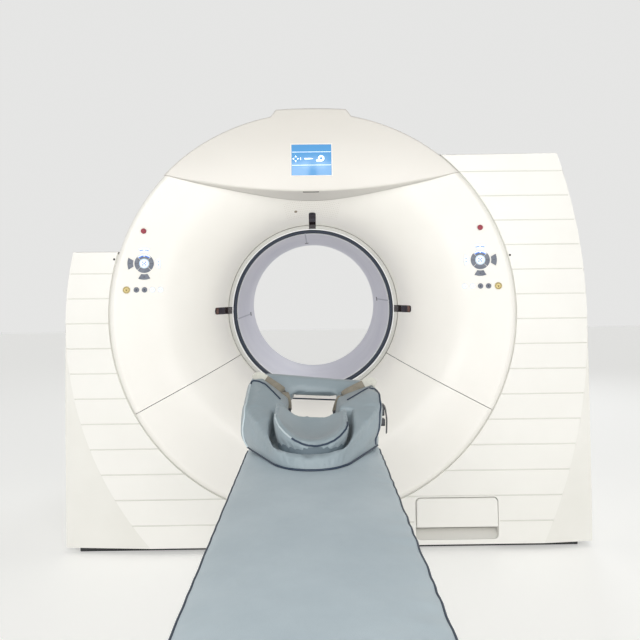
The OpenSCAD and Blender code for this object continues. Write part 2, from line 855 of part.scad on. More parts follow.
module top_cap() {
    color(LIGHT) difference() {
        front_prism(hood_back_y + hood_gap, rear_y) cap_outline(0);
        front_prism(hood_back_y, rear_y - cover_wall) difference() {
            cap_outline(cover_wall);
            translate([0, axis_z]) circle(barrel_r + cover_wall, $fn = 180);
        }
        bar_y(barrel_r + key_gap, hood_back_y - eps, rear_y + eps);
    }
}

// The profile runs from the bore's flare to the barrel's edge, then back inside
module rear_cover() {
    y1 = rear_y + rear_proud;
    flare_r = tunnel_r + rear_flare;
    color(LIGHT) revolve([[tunnel_r, tunnel_end_y], [tunnel_r + 6, tunnel_end_y + 20],
                          [tunnel_r + 18, y1 - 8], [flare_r, y1],
                          [barrel_r - 60, rear_y + 16], [barrel_r - 12, rear_y + 8],
                          [barrel_r, rear_y], [barrel_r - 12, rear_y],
                          [barrel_r - 60, rear_y + 16 - rear_wall],
                          [flare_r, y1 - rear_wall], [tunnel_r + 20, y1 - 14 - rear_wall],
                          [tunnel_r + 6 + rear_wall, tunnel_end_y]]);
}

/* Steel frame and what turns */
stator_y = 65;
pad_top = base_t + pad_h;
motor_x = (journal_r + motor_out) * cos(motor_angle);
motor_drop = (journal_r + motor_out) * sin(motor_angle);

module base_frame() {
    color(DARK) difference() {
        union() {
            block(-left_x + 60, right_x - 60, face_y + 40, rear_y - 40, 0, base_t);
            for (m = [-1, 1]) block(m * pad_x - pad_half_w, m * pad_x + pad_half_w, stator_y - 60,
                                    stator_y + stator_d + 60, base_t - eps, pad_top);
        }
        for (x = [-1, 1], y = [-1, 1])
            translate([x * anchor_x / 2, y * anchor_y / 2 + 100, -eps])
                cylinder(r = anchor_r, h = base_t + 2 * eps, $fn = 48);
    }
}

module stator_frame() {
    leg_r = journal_r + stator_wall - 15;
    color(STEEL) difference() {
        union() {
            bar_y(journal_r + stator_wall, stator_y, stator_y + stator_d);
            // Arms that hold the barrel shell
            for (a = [24, 90, 156]) revolve_arc(
                [[journal_r + stator_wall - 5, stator_y], [barrel_in - seat_gap, stator_y],
                 [barrel_in - seat_gap, stator_y + stator_d],
                 [journal_r + stator_wall - 5, stator_y + stator_d]], a - 4, a + 4);
            for (m = [-1, 1]) front_prism(stator_y, stator_y + stator_d)
                polygon([[m * leg_r * cos(56), axis_z - leg_r * sin(56)],
                         [m * leg_r * cos(39), axis_z - leg_r * sin(39)],
                         [m * (pad_x + pad_half_w - 20), pad_top],
                         [m * (pad_x - pad_half_w + 20), pad_top]]);
        }
        bar_y(journal_r + journal_gap, stator_y - eps, stator_y + stator_d + eps);
        bar_y(shaft_r + journal_gap, stator_y - eps, stator_y + stator_d + eps, motor_x,
              axis_z - motor_drop);
    }
}

drum_in = tunnel_r + tunnel_wall + rotor_in;
belt_y = -belt_w - 5;

module rotor_drum() {
    color(STEEL) {
        revolve([[drum_in, 0], [journal_r, 0], [journal_r, stator_y + stator_d + 20],
                 [journal_r - 45, stator_y + stator_d + 20], [journal_r - 45, rotor_t],
                 [drum_in + 90, rotor_t], [drum_in + 90, rotor_t + 60],
                 [drum_in, rotor_t + 60]]);
        revolve([[journal_r - 12, belt_y - 8], [journal_r + 8, belt_y - 8],
                 [journal_r + 8, belt_y - 1], [journal_r, belt_y - 1], [journal_r, eps],
                 [journal_r - 12, eps]]);
    }
}

tube_mid = (drum_in + journal_r) / 2 - 4;

module tube_housing() {
    color([0.75, 0.7, 0.55]) {
        bar_y(84, -rotor_front, -4, 0, axis_z + tube_mid);
        block(-110, 110, -60, 0, axis_z + drum_in + 24, axis_z + tube_mid + 70);
        bar_y(60, -rotor_front - 14, -rotor_front + 1, 0, axis_z + tube_mid);
        for (m = [-1, 1]) bar_y(22, -80, -20, m * 92, axis_z + tube_mid + 30);
    }
}

// The detectors face the tube across the bore
module detector_arc() {
    face_r = journal_r - arc_in - arc_t;
    color(DARK) {
        revolve_arc([[face_r, -arc_d], [journal_r - arc_in, -arc_d],
                     [journal_r - arc_in, 0], [face_r, 0]], 270 - arc_half, 270 + arc_half);
        revolve_arc([[face_r - arc_face_t, arc_face_set - arc_d], [face_r + eps, arc_face_set - arc_d],
                     [face_r + eps, -arc_face_set], [face_r - arc_face_t, -arc_face_set]],
                    272 - arc_half, 268 + arc_half);
    }
}

module generator() {
    color([0.4, 0.45, 0.5]) for (m = [-1, 1])
        translate([0, 0, axis_z]) rotate([0, m * generator_turn, 0])
            block(-generator_w / 2, generator_w / 2, -rotor_front + 10, 0, drum_in + generator_in,
                  journal_r - generator_out);
}

module motor_pulley() {
    color(STEEL) {
        bar_y(pulley_r, belt_y, belt_y + belt_w, motor_x, axis_z - motor_drop);
        bar_y(shaft_r, belt_y, stator_y + stator_d + 6, motor_x, axis_z - motor_drop);
    }
}

// A flat belt round the drum and the pulley, with straight runs between them
module drive_belt() {
    reach = norm([motor_x, motor_drop]);
    run_in = journal_r + journal_gap;
    tip_in = pulley_r + journal_gap;
    lean = acos((run_in - tip_in) / reach);
    run_l = reach * sin(lean);
    color([0.1, 0.1, 0.1]) translate([0, belt_y, axis_z]) rotate([-90, 0, 0])
        rotate([0, 0, atan2(motor_drop, motor_x)]) {
            rotate_extrude(start = lean, angle = 360 - 2 * lean, $fn = 180)
                translate([run_in, 0]) square([belt_t, belt_w]);
            translate([reach, 0, 0]) rotate_extrude(start = -lean, angle = 2 * lean, $fn = 96)
                translate([tip_in, 0]) square([belt_t, belt_w]);
            // The straight runs are a hair thinner and reach into the two curved parts
            for (m = [-1, 1]) rotate([0, 0, m * lean])
                translate([run_in + 0.1, (m > 0 ? -run_l : 0) - 1, 0])
                    cube([belt_t - 0.2, run_l + 2, belt_w]);
        }
}

module drive_motor() {
    y0 = stator_y + stator_d;
    color([0.3, 0.33, 0.36]) difference() {
        union() {
            bar_y(motor_r, y0, y0 + motor_l, motor_x, axis_z - motor_drop);
            block(motor_x - 60, motor_x + 60, y0 + 20, y0 + motor_l - 20,
                  axis_z - motor_drop + motor_r - 12, axis_z - motor_drop + motor_r + 30);
        }
        bar_y(shaft_r + journal_gap, y0 - eps, y0 + 30, motor_x, axis_z - motor_drop);
    }
}

module slow_detector_ring() {
    ring_r = drum_in + ring_t;
    out_x = ring_leg_x + ring_leg_w;
    color([0.5, 0.53, 0.55]) difference() {
        union() {
            bar_y(ring_r, ring_y, ring_y + ring_d);
            for (m = [-1, 1]) front_prism(ring_y + ring_leg_set, ring_y + ring_d - ring_leg_set)
                polygon([[m * ring_leg_x, axis_z - ring_leg_drop],
                         [m * out_x, axis_z - ring_leg_drop + ring_leg_rise],
                         [m * (out_x + ring_leg_lean), base_t],
                         [m * (ring_leg_x + ring_leg_lean), base_t]]);
        }
        bar_y(drum_in, ring_y - eps, ring_y + ring_d + eps);
    }
}

/* Drawer */
module module_drawer() {
    g = drawer_gap;
    z0 = drawer_z + finger_gap;
    color(LIGHT) {
        front_prism(face_y - 4, face_y + 14) difference() {
            recess_outline(g);
            square([2 * far, z0]);
        }
        difference() {
            block(drawer_x + 12, drawer_x + drawer_w - 12, face_y + 13, face_y + drawer_d - 1,
                  z0 + 6, drawer_z + drawer_h - 30);
            block(drawer_x + 12 + drawer_wall, drawer_x + drawer_w - 12 - drawer_wall,
                  face_y + 14, face_y + drawer_d - 1 - drawer_wall,
                  z0 + 6 + drawer_wall, drawer_z + drawer_h);
        }
    }
}

/* Table */
pallet_z = mattress_z - mattress_t;
beam_z = pallet_z - pallet_t;
rail_top = floor_t + rail_h;
plate_z = rail_top + 5;
plate_top = plate_z + carriage_t;
lower_top = plate_top + lower_skirt_h;
mid_w = column_w - 2 * column_wall - 2 * column_gap;
post_w = mid_w - 2 * column_wall - 2 * column_gap;
post_bottom = plate_top + lift_down + 14;
stage_bottom = plate_top + lift_down / 2 + 12;
stage_top = beam_z - stage_room;
head_z = beam_z - beam_h - head_t + eps;

module floor_frame() {
    color(DARK) difference() {
        union() {
            block(-floor_half_w, floor_half_w, pallet_foot_y + 40, face_y + 40, 0, floor_t);
            for (m = [-1, 1]) {
                block(m * rail_x - rail_w / 4, m * rail_x + rail_w / 4, pallet_foot_y + 60,
                      rail_end_y, floor_t - eps, rail_top - rail_h / 2 + eps);
                block(m * rail_x - rail_w / 2, m * rail_x + rail_w / 2, pallet_foot_y + 60,
                      rail_end_y, rail_top - rail_h / 2, rail_top);
            }
        }
        for (x = [-1, 1], y = [-1, 1])
            translate([x * (floor_half_w - 40), column_y + y * 400, -eps])
                cylinder(r = anchor_r, h = floor_t + 2 * eps, $fn = 48);
    }
}

// A shoe that hooks round a rail's head
module shoe(x, y) {
    w = rail_w / 2 + 16;
    difference() {
        block(x - w, x + w, y - 70, y + 70, floor_t + 4, plate_z + eps);
        block(x - rail_w / 4 - rail_gap - 2, x + rail_w / 4 + rail_gap + 2,
              y - 71, y + 71, 0, rail_top - rail_h / 2 + eps);
        block(x - rail_w / 2 - rail_gap, x + rail_w / 2 + rail_gap, y - 71, y + 71,
              rail_top - rail_h / 2 - rail_gap, rail_top + rail_gap);
    }
}

// A square tube round the column's middle
module square_tube(w, hole, z0, z1) {
    difference() {
        block(-w / 2, w / 2, column_y - w / 2, column_y + w / 2, z0, z1);
        block(-hole / 2, hole / 2, column_y - hole / 2, column_y + hole / 2,
              z0 - eps, z1 + eps);
    }
}

module carriage() {
    color(STEEL) {
        block(-skirt_x - 20, skirt_x + 20, column_y - skirt_l - 20, column_y + skirt_l + 20,
              plate_z, plate_top);
        for (x = [-1, 1], y = [-1, 1]) shoe(x * rail_x, column_y + y * (skirt_l - 60));
        square_tube(column_w, column_w - 2 * column_wall, plate_top - eps, lower_top - 6);
    }
}

// A skirt's wall: step 0 is the inner one, each next one goes round it
module skirt_ring(step, z0, z1) {
    g = step * (skirt_wall + skirt_play);
    translate([0, 0, z0]) linear_extrude(z1 - z0) difference() {
        round_rect(-skirt_x - g, skirt_x + g, column_y - skirt_l - g, column_y + skirt_l + g,
                   30 + g);
        round_rect(-skirt_x - g + skirt_wall, skirt_x + g - skirt_wall,
                   column_y - skirt_l - g + skirt_wall, column_y + skirt_l + g - skirt_wall,
                   30 + g - skirt_wall);
    }
}

module lower_skirt() {
    color(WHITE) skirt_ring(0, plate_top, lower_top);
}

// The middle tube, with the web that carries its own skirt
module lift_stage() {
    color(WHITE) {
        square_tube(mid_w, mid_w - 2 * column_wall, stage_bottom, stage_top);
        skirt_ring(1, lower_top - lift_up / 2 - 34, stage_top);
        translate([0, 0, stage_top - 6]) linear_extrude(6) difference() {
            round_rect(-skirt_x - 4, skirt_x + 4, column_y - skirt_l - 4, column_y + skirt_l + 4,
                       30);
            translate([0, column_y]) square(mid_w - 2 * column_wall, center = true);
        }
    }
}

module upper_skirt() {
    color(WHITE) skirt_ring(2, stage_top - lift_up / 2 - 38, head_z);
}

module lift_head() {
    color(LIGHT) {
        block(-post_w / 2, post_w / 2, column_y - post_w / 2, column_y + post_w / 2,
              post_bottom, head_z + eps);
        translate([0, 0, head_z]) linear_extrude(head_t)
            round_rect(-skirt_x - 15, skirt_x + 15, column_y - skirt_l - 15,
                       column_y + skirt_l + 15, 40);
        // The beam gets shallower towards the bore
        translate([-110, 0, 0]) rotate([90, 0, 90]) linear_extrude(220)
            polygon([[pallet_foot_y + 60, beam_z], [pallet_head_y - 420, beam_z],
                     [pallet_head_y - 420, beam_z - 16], [column_y + skirt_l, beam_z - beam_h],
                     [pallet_foot_y + 60, beam_z - beam_h]]);
    }
}

module pallet() {
    w = pallet_w / 2;
    color([0.9, 0.9, 0.88]) intersection() {
        front_prism(pallet_foot_y, pallet_head_y)
            polygon([[-120, beam_z], [120, beam_z], [w - 22, beam_z + 14], [w, beam_z + 34],
                     [w, pallet_z - 4], [w - 5, pallet_z], [-w + 5, pallet_z],
                     [-w, pallet_z - 4], [-w, beam_z + 34], [-w + 22, beam_z + 14]]);
        linear_extrude(far) round_rect(-w, w, pallet_foot_y, pallet_head_y, 60);
    }
}

module mattress() {
    w = mattress_w / 2;
    color(PAD) intersection() {
        front_prism(pallet_foot_y, mattress_head_y)
            polygon([[-w + 6, pallet_z + 0.3], [w - 6, pallet_z + 0.3], [w, pallet_z + 10],
                     [w, mattress_z - 14], [w - 12, mattress_z - 3], [w - 40, mattress_z],
                     [-w + 40, mattress_z], [-w + 12, mattress_z - 3], [-w, mattress_z - 14],
                     [-w, pallet_z + 10]]);
        linear_extrude(far) round_rect(-w, w, pallet_foot_y + 10, mattress_head_y, 26);
    }
}

/* Head and arm support */
cradle_y = support_front_y + cradle_run;
cradle_back_y = cradle_y + cradle_l;
arch_y = support_back_y - arch_d;
recess_z = mattress_z + recess_h;
// Height of the leaning back edge at x
function wing_top(x) = mattress_z + wing_h - x * tan(wing_lean);

// Side view of the ramp, as [y, z]
module support_side() {
    z = mattress_z;
    top = wing_top(-support_w / 2);
    polygon([[support_front_y, z + seat_gap], [support_front_y, z + lip_h - 12],
             [support_front_y + 12, z + lip_h], [support_front_y + ramp_run, z + ramp_h],
             [support_front_y + wing_run, top], [support_back_y - 14, top],
             [support_back_y, top - 14], [support_back_y, pallet_z + seat_gap],
             [mattress_head_y + 1, pallet_z + seat_gap], [mattress_head_y + 1, z + seat_gap]]);
}

// Plan of the support: a round front that widens to straight sides
module support_plan() {
    w = support_w / 2;
    start_y = support_front_y + nose_run;
    run = nose_run - nose_r;
    side_a = atan2(run, w) - acos(nose_r / norm([w, run]));
    turn = 180 + 2 * side_a;
    round_rect(-w, w, start_y, support_back_y, 46);
    translate([-w, start_y]) square([2 * w, 100]);
    polygon(concat([[w, start_y + eps]],
                   [for (k = [0:24]) nose_r * [cos(side_a - k * turn / 24),
                                               sin(side_a - k * turn / 24)]
                                     + [0, support_front_y + nose_r]],
                   [[-w, start_y + eps]]));
}

// Front view of the wings, which fall towards the middle, or of the arch behind them
module support_front(wings) {
    w = support_w / 2;
    inner = mattress_z + wing_inner_h;
    polygon(concat([[-w, 0], [-w, wing_top(-w)]],
                   wings ? [[-wing_tip_x, wing_top(-wing_tip_x)], [-gap_half_w, inner],
                            [gap_half_w, inner], [wing_tip_x, wing_top(wing_tip_x)]] : [],
                   [[w, wing_top(w)], [w, 0]]));
}

// Plan of the cradle grown by g
module cradle_plan(g) {
    translate([0, cradle_y]) circle(cradle_r + g, $fn = 128);
    translate([-cradle_r - g, cradle_y]) square([2 * (cradle_r + g), cradle_l + g]);
}

module arm_support() {
    color(PAD) difference() {
        intersection() {
            translate([-far / 2, 0, 0]) rotate([90, 0, 90]) linear_extrude(far) support_side();
            linear_extrude(far) support_plan();
            union() {
                front_prism(support_front_y - eps, arch_y) support_front(true);
                front_prism(arch_y, support_back_y + eps) support_front(false);
            }
        }
        translate([0, 0, recess_z]) linear_extrude(far) cradle_plan(recess_play);
        // The way through between the wings, under the arch
        front_prism(cradle_back_y, support_back_y + far)
            round_rect(-gap_half_w, gap_half_w, recess_z, mattress_z + arch_under, 24);
        front_prism(cradle_back_y, arch_y)
            round_rect(-gap_half_w, gap_half_w, recess_z, recess_z + far, 24);
    }
}

// A scoop: round at the front, where it is low, and hollow on top
module head_cradle() {
    rise = atan((cradle_back_h - cradle_front_h) / (cradle_r + cradle_l));
    color(PAD) difference() {
        translate([0, 0, recess_z + seat_gap]) linear_extrude(cradle_r + cradle_back_h)
            cradle_plan(0);
        // The hollow leans to one side as the wings do, and what is above it goes too
        translate([0, cradle_y - cradle_r, mattress_z + cradle_front_h])
            rotate([rise, 0, 0]) rotate([0, wing_lean, 0]) {
                translate([0, -far / 2, cradle_hollow_r]) rotate([-90, 0, 0])
                    cylinder(r = cradle_hollow_r, h = far, $fn = 256);
                block(-cradle_hollow_r, cradle_hollow_r, -far / 2, far / 2,
                      cradle_hollow_r / 2, far);
            }
    }
}

// A strap down each wing's slope into the opening, with a buckle at its end, and a side clip
module straps() {
    y1 = arch_y - 12;
    over = mattress_z + wing_inner_h + seat_gap;
    inner = gap_half_w - seat_gap;
    side_x = support_w / 2 + seat_gap;
    for (m = [-1, 1]) {
        tip = m * wing_tip_x;
        color([0.75, 0.72, 0.62]) {
            front_prism(y1 - strap_w, y1)
                polygon([[m * (inner - strap_t), over], [m * gap_half_w, over],
                         [tip, wing_top(tip) + seat_gap], [tip, wing_top(tip) + seat_gap + strap_t],
                         [m * gap_half_w, over + strap_t], [m * (inner - strap_t), over + strap_t]]);
            block(min(m * inner, m * (inner - strap_t)), max(m * inner, m * (inner - strap_t)),
                  y1 - strap_w, y1, over - buckle_h, over + strap_t);
        }
        color(DARK)
            block(min(m * inner, m * (inner - 10)), max(m * inner, m * (inner - 10)),
                  y1 - strap_w - 3, y1 + 3, over - 2 * buckle_h, over - buckle_h + 8);
    }
    color(DARK) {
        block(side_x, side_x + strap_t, y1 - 38, y1 - 22, recess_z, recess_z + 2 * buckle_h);
        block(side_x, side_x + 8, y1 - 44, y1 - 16, recess_z + buckle_h - 2, recess_z + 2 * buckle_h);
        block(side_x, side_x + 10, y1 - 46, y1 - 14, recess_z, recess_z + buckle_h - 12);
    }
}

/* What is drawn */
base_frame();
stator_frame();
drive_motor();
drive_belt();
slow_detector_ring();
tunnel_liner();
bore_bezel();
bore_seal();
front_cover_upper();
front_cover_lower();
display_hood();
display_screen();
laser_windows();
barrel_shell();
top_cap();
rear_cover();
left_fairing();
right_fairing();
middle_skirts();
control_plate(-1);  // left_control_plate
control_plate(1);  // right_control_plate
rotor_drum();
tube_housing();
detector_arc();
generator();
motor_pulley();
module_drawer();
floor_frame();
carriage();
lower_skirt();
lift_stage();
upper_skirt();
lift_head();
pallet();
mattress();
arm_support();
head_cradle();
straps();
for (side = [0, 1], key = KEYS)
    control_key(2 * side - 1, key);
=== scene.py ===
import json
import math
import bmesh
import bpy
from mathutils import Matrix, Vector
from mathutils.bvhtree import BVHTree

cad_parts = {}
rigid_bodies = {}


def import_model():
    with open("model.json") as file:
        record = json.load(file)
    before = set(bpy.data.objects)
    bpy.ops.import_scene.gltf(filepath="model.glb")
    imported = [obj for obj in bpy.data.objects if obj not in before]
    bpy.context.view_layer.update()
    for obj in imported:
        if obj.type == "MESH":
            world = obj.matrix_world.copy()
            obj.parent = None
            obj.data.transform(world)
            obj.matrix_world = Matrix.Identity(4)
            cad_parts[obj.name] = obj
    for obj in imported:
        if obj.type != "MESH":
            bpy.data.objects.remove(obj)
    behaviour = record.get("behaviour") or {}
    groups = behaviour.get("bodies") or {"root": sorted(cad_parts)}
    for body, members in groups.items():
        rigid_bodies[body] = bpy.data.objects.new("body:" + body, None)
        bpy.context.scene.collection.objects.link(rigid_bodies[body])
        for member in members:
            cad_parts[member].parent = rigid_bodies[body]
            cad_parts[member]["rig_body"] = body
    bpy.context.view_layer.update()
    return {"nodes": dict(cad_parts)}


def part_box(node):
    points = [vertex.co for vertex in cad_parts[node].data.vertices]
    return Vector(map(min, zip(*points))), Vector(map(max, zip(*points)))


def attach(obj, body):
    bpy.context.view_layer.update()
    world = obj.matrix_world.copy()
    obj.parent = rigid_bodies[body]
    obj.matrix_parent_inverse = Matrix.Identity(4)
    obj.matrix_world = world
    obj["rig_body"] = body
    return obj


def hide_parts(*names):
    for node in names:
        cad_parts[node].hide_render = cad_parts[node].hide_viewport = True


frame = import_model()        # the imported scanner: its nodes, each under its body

# Camera
# It stands behind the table's foot, a little left of the bore's axis and just above it, and
# looks slightly up. Its lens and shift are fitted values.
camera = bpy.data.objects.new("camera", bpy.data.cameras.new("camera"))
camera.data.sensor_width = 36.0
camera.data.lens = 37.69
camera.data.shift_y = -0.1016
camera.data.clip_end = 60
turn, tip, roll = math.radians(0.475), math.radians(2.89), math.radians(-0.66)
ahead = Vector((math.sin(turn) * math.cos(tip), math.cos(turn) * math.cos(tip), math.sin(tip)))
level = Vector((math.cos(turn), -math.sin(turn), 0))
above = level.cross(ahead)
across = math.cos(roll) * level + math.sin(roll) * above
above = -math.sin(roll) * level + math.cos(roll) * above
camera.matrix_world = (Matrix.Translation((0.009, -3.5665, 1.1835))
                       @ Matrix((across, above, -ahead)).transposed().to_4x4())
bpy.context.scene.collection.objects.link(camera)
bpy.context.scene.camera = camera

# Floor and light
# A plain pale floor, two large soft panels in front of the machine, a low one, one over the
# table, one at the back, and a pale surround that is darker overhead.
floor_mesh = bmesh.new()
bmesh.ops.create_grid(floor_mesh, x_segments=1, y_segments=1, size=16)
bmesh.ops.translate(floor_mesh, verts=floor_mesh.verts, vec=(0, 0, -0.001))
floor_data = bpy.data.meshes.new("floor")
floor_mesh.to_mesh(floor_data)
floor_mesh.free()
floor = bpy.data.objects.new("floor", floor_data)
bpy.context.scene.collection.objects.link(floor)
floor_paint = bpy.data.materials.new("floor_paint")
floor_paint.use_nodes = True
floor_shader = floor_paint.node_tree.nodes["Principled BSDF"]
floor_shader.inputs["Base Color"].default_value = (0.80, 0.80, 0.785, 1)
floor_shader.inputs["Roughness"].default_value = 0.42
floor_shader.inputs["Emission Color"].default_value = (1, 1, 0.98, 1)
floor_shader.inputs["Emission Strength"].default_value = 0.34
floor_data.materials.append(floor_paint)


def wired(tree, *links):
    """Each link is a node, its output, the next node and its input."""
    for source, given, target, asked in links:
        tree.links.new(source.outputs[given], target.inputs[asked])


surround = bpy.data.worlds.new("surround")
surround.use_nodes = True
sky = surround.node_tree
up_down = sky.nodes.new("ShaderNodeSeparateXYZ")
height = sky.nodes.new("ShaderNodeMapRange")
height.inputs["From Min"].default_value = 0.40
height.inputs["From Max"].default_value = 0.85
height.inputs["To Min"].default_value = 0.80
height.inputs["To Max"].default_value = 0.12
wired(sky, (sky.nodes.new("ShaderNodeTexCoord"), "Generated", up_down, "Vector"),
      (up_down, "Z", height, "Value"), (height, "Result", sky.nodes["Background"], "Strength"))
sky.nodes["Background"].inputs["Color"].default_value = (0.985, 0.985, 0.975, 1)
bpy.context.scene.world = surround
bpy.context.scene.view_settings.view_transform = "Standard"


def soft_panel(name, place, aim, wide, high, power, colour=(1, 0.985, 0.96)):
    """A square-cornered soft light that faces its aim."""
    light = bpy.data.lights.new(name, "AREA")
    light.shape = "RECTANGLE"
    light.size, light.size_y, light.energy, light.color = wide, high, power, colour
    panel = bpy.data.objects.new(name, light)
    look = (Vector(aim) - Vector(place)).to_track_quat("-Z", "Y").to_matrix().to_4x4()
    panel.matrix_world = Matrix.Translation(place) @ look
    bpy.context.scene.collection.objects.link(panel)


soft_panel("panel_left", (-1.3, -5.4, 2.2), (-0.2, -0.4, 1.0), 2.0, 2.2, 54)
soft_panel("panel_right", (1.5, -5.4, 2.2), (0.3, -0.4, 1.0), 2.0, 2.2, 43)
soft_panel("panel_table", (0.2, -4.5, 2.9), (0, -3.0, 0.7), 2.2, 1.8, 24)
soft_panel("panel_low", (0, -5.0, 0.35), (0, -0.45, 1.3), 3.2, 0.5, 22)
soft_panel("panel_rear", (1.5, 4.6, 3.6), (0, 0.6, 1.0), 3.0, 2.2, 62, (0.96, 0.98, 1))

# Steel base and rails
# The black coated base plate under the covers and the grey floor frame with its two rails for
# the table's carriage. Laser-cut plate and ground bar, bolted to the floor.
AXIS = 1.08              # height of the bore's axis


def tone(red, green, blue):
    """A colour as it is seen on a screen, as the shader's linear values."""
    return [((v / 255 + 0.055) / 1.055) ** 2.4 if v > 10 else v / 3294
            for v in (red, green, blue)] + [1]


def node_group(name, asked, given):
    """A shader node group with its named sockets, and its two end nodes."""
    group = bpy.data.node_groups.new(name, "ShaderNodeTree")
    for sockets, in_out in ((asked, "INPUT"), (given, "OUTPUT")):
        for socket, kind in sockets.items():
            group.interface.new_socket(socket, in_out=in_out, socket_type="NodeSocket" + kind)
    return group, group.nodes.new("NodeGroupInput"), group.nodes.new("NodeGroupOutput")


def relief_group(name, kind, height):
    """A group that raises a texture's height out of the surface."""
    group, asked, given = node_group(
        name, {"Vector": "Vector", "Scale": "Float", "Depth": "Float"}, {"Normal": "Vector"})
    pattern, bump = group.nodes.new(kind), group.nodes.new("ShaderNodeBump")
    wired(group, (asked, "Vector", pattern, "Vector"), (asked, "Scale", pattern, "Scale"),
          (pattern, height, bump, "Height"), (asked, "Depth", bump, "Distance"),
          (bump, "Normal", given, "Normal"))
    return group, pattern, bump


# Slow cloudy change of colour and gloss over a coated or moulded face
cloud, cloud_in, cloud_out = node_group(
    "coat_cloud", {"Vector": "Vector", "Scale": "Float", "Colour": "Color", "Shade": "Color",
                   "Matt": "Float", "Spread": "Float"}, {"Colour": "Color", "Roughness": "Float"})
broad = cloud.nodes.new("ShaderNodeTexNoise")
broad.inputs["Detail"].default_value = 5
broad.inputs["Roughness"].default_value = 0.6
clear = cloud.nodes.new("ShaderNodeMapRange")
clear.inputs["From Min"].default_value = 0.32
clear.inputs["From Max"].default_value = 0.68
blend = cloud.nodes.new("ShaderNodeMix")
blend.data_type = "RGBA"
gloss = cloud.nodes.new("ShaderNodeMath")
gloss.operation = "MULTIPLY_ADD"
wired(cloud, (cloud_in, "Vector", broad, "Vector"), (cloud_in, "Scale", broad, "Scale"),
      (broad, "Fac", clear, "Value"), (clear, "Result", blend, "Factor"),
      (broad, "Fac", gloss, 0), (cloud_in, "Spread", gloss, 1), (cloud_in, "Matt", gloss, 2),
      (gloss, "Value", cloud_out, "Roughness"), (cloud_in, "Colour", blend, "A"),
      (cloud_in, "Shade", blend, "B"), (blend, "Result", cloud_out, "Colour"))

# Fine texture of a sprayed, moulded or sanded face
grain, fine_noise, _ = relief_group("fine_grain", "ShaderNodeTexNoise", "Fac")
fine_noise.inputs["Detail"].default_value = 3


def finish(name, colour, shade, matt, spread=0.12, clouds=2.5, scale=700, depth=0.00002,
           metal=0.0, coat=0.0, sheen=0.0, stretch=(1, 1, 1), relief=None):
    """Builds a finish on the material of that name, or on a new one: a cloudy colour between two
    tones, a matt or glossy face and a fine relief."""
    made = bpy.data.materials.get(name) or bpy.data.materials.new(name)
    made.use_nodes = True
    tree = made.node_tree
    tree.nodes.clear()
    shader = tree.nodes.new("ShaderNodeBsdfPrincipled")
    shader.inputs["Metallic"].default_value = metal
    shader.inputs["Coat Weight"].default_value = coat
    shader.inputs["Coat Roughness"].default_value = 0.16
    shader.inputs["Sheen Weight"].default_value = sheen
    drawn = tree.nodes.new("ShaderNodeMapping")
    drawn.inputs["Scale"].default_value = stretch
    tint, rough = tree.nodes.new("ShaderNodeGroup"), tree.nodes.new("ShaderNodeGroup")
    tint.node_tree, rough.node_tree = cloud, relief or grain
    for socket, value in (("Scale", clouds), ("Colour", tone(*colour)), ("Shade", tone(*shade)),
                          ("Matt", matt - spread / 2), ("Spread", spread)):
        tint.inputs[socket].default_value = value
    rough.inputs["Scale"].default_value = scale
    rough.inputs["Depth"].default_value = depth
    wired(tree, (tree.nodes.new("ShaderNodeTexCoord"), "Object", drawn, "Vector"),
          (drawn, "Vector", tint, "Vector"), (drawn, "Vector", rough, "Vector"),
          (tint, "Colour", shader, "Base Color"), (tint, "Roughness", shader, "Roughness"),
          (rough, "Normal", shader, "Normal"),
          (shader, "BSDF", tree.nodes.new("ShaderNodeOutputMaterial"), "Surface"))
    return made


finish("plinth_steel", (34, 35, 38), (44, 44, 46), 0.55, scale=1400, depth=0.00005)
finish("rail_steel", (118, 121, 126), (132, 134, 138), 0.42, scale=1200, depth=0.00003)


def piece(mesh, name, slot, body, *nodes, finish_name=None, sharp=35):
    """Makes an object of a bmesh, with its place in its mesh, and hides the nodes it stands for."""
    data = bpy.data.meshes.new(name)
    mesh.to_mesh(data)
    mesh.free()
    for face in data.polygons:
        face.use_smooth = True
    if sharp:
        data.set_sharp_from_angle(angle=math.radians(sharp))
    made = bpy.data.objects.new(name, data)
    bpy.context.scene.collection.objects.link(made)
    data.materials.append(bpy.data.materials[finish_name or slot])
    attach(made, body)
    if nodes:
        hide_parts(*nodes)
    return made


def held(mesh, name):
    """A passing object that holds a bmesh."""
    data = bpy.data.meshes.new(name)
    mesh.to_mesh(data)
    mesh.free()
    made = bpy.data.objects.new(name, data)
    bpy.context.scene.collection.objects.link(made)
    return made


def baked(passing, *others):
    """The finished mesh of a passing object. It and the others go."""
    mesh = bmesh.new()
    mesh.from_object(passing, bpy.context.evaluated_depsgraph_get())
    for made in (passing, *others):
        data = made.data
        bpy.data.objects.remove(made)
        bpy.data.meshes.remove(data)
    return mesh


def cut(mesh, tool, operation="DIFFERENCE"):
    """Cuts one closed bmesh by another and gives the result."""
    whole, taken = held(mesh, "whole"), held(tool, "taken")
    change = whole.modifiers.new("cut", "BOOLEAN")
    change.object, change.operation, change.solver = taken, operation, "EXACT"
    return baked(whole, taken)


def box_mesh(low, high, mesh=None):
    """A box between two corners, in a mesh of its own or in the given one."""
    mesh = mesh or bmesh.new()
    low, high = Vector(low), Vector(high)
    bmesh.ops.create_cube(mesh, size=1, matrix=Matrix.Translation((low + high) / 2)
                          @ Matrix.Diagonal((*(high - low), 1)))
    return mesh


def evened(made):
    """Shades flat faces flat beside their rounded edges."""
    made.modifiers.new("even", "WEIGHTED_NORMAL").keep_sharp = True
    return made


def node_copy(node):
    """A merged copy of a node's mesh."""
    mesh = bmesh.new()
    mesh.from_mesh(frame["nodes"][node].data)
    bmesh.ops.remove_doubles(mesh, verts=mesh.verts, dist=0.00001)
    return mesh


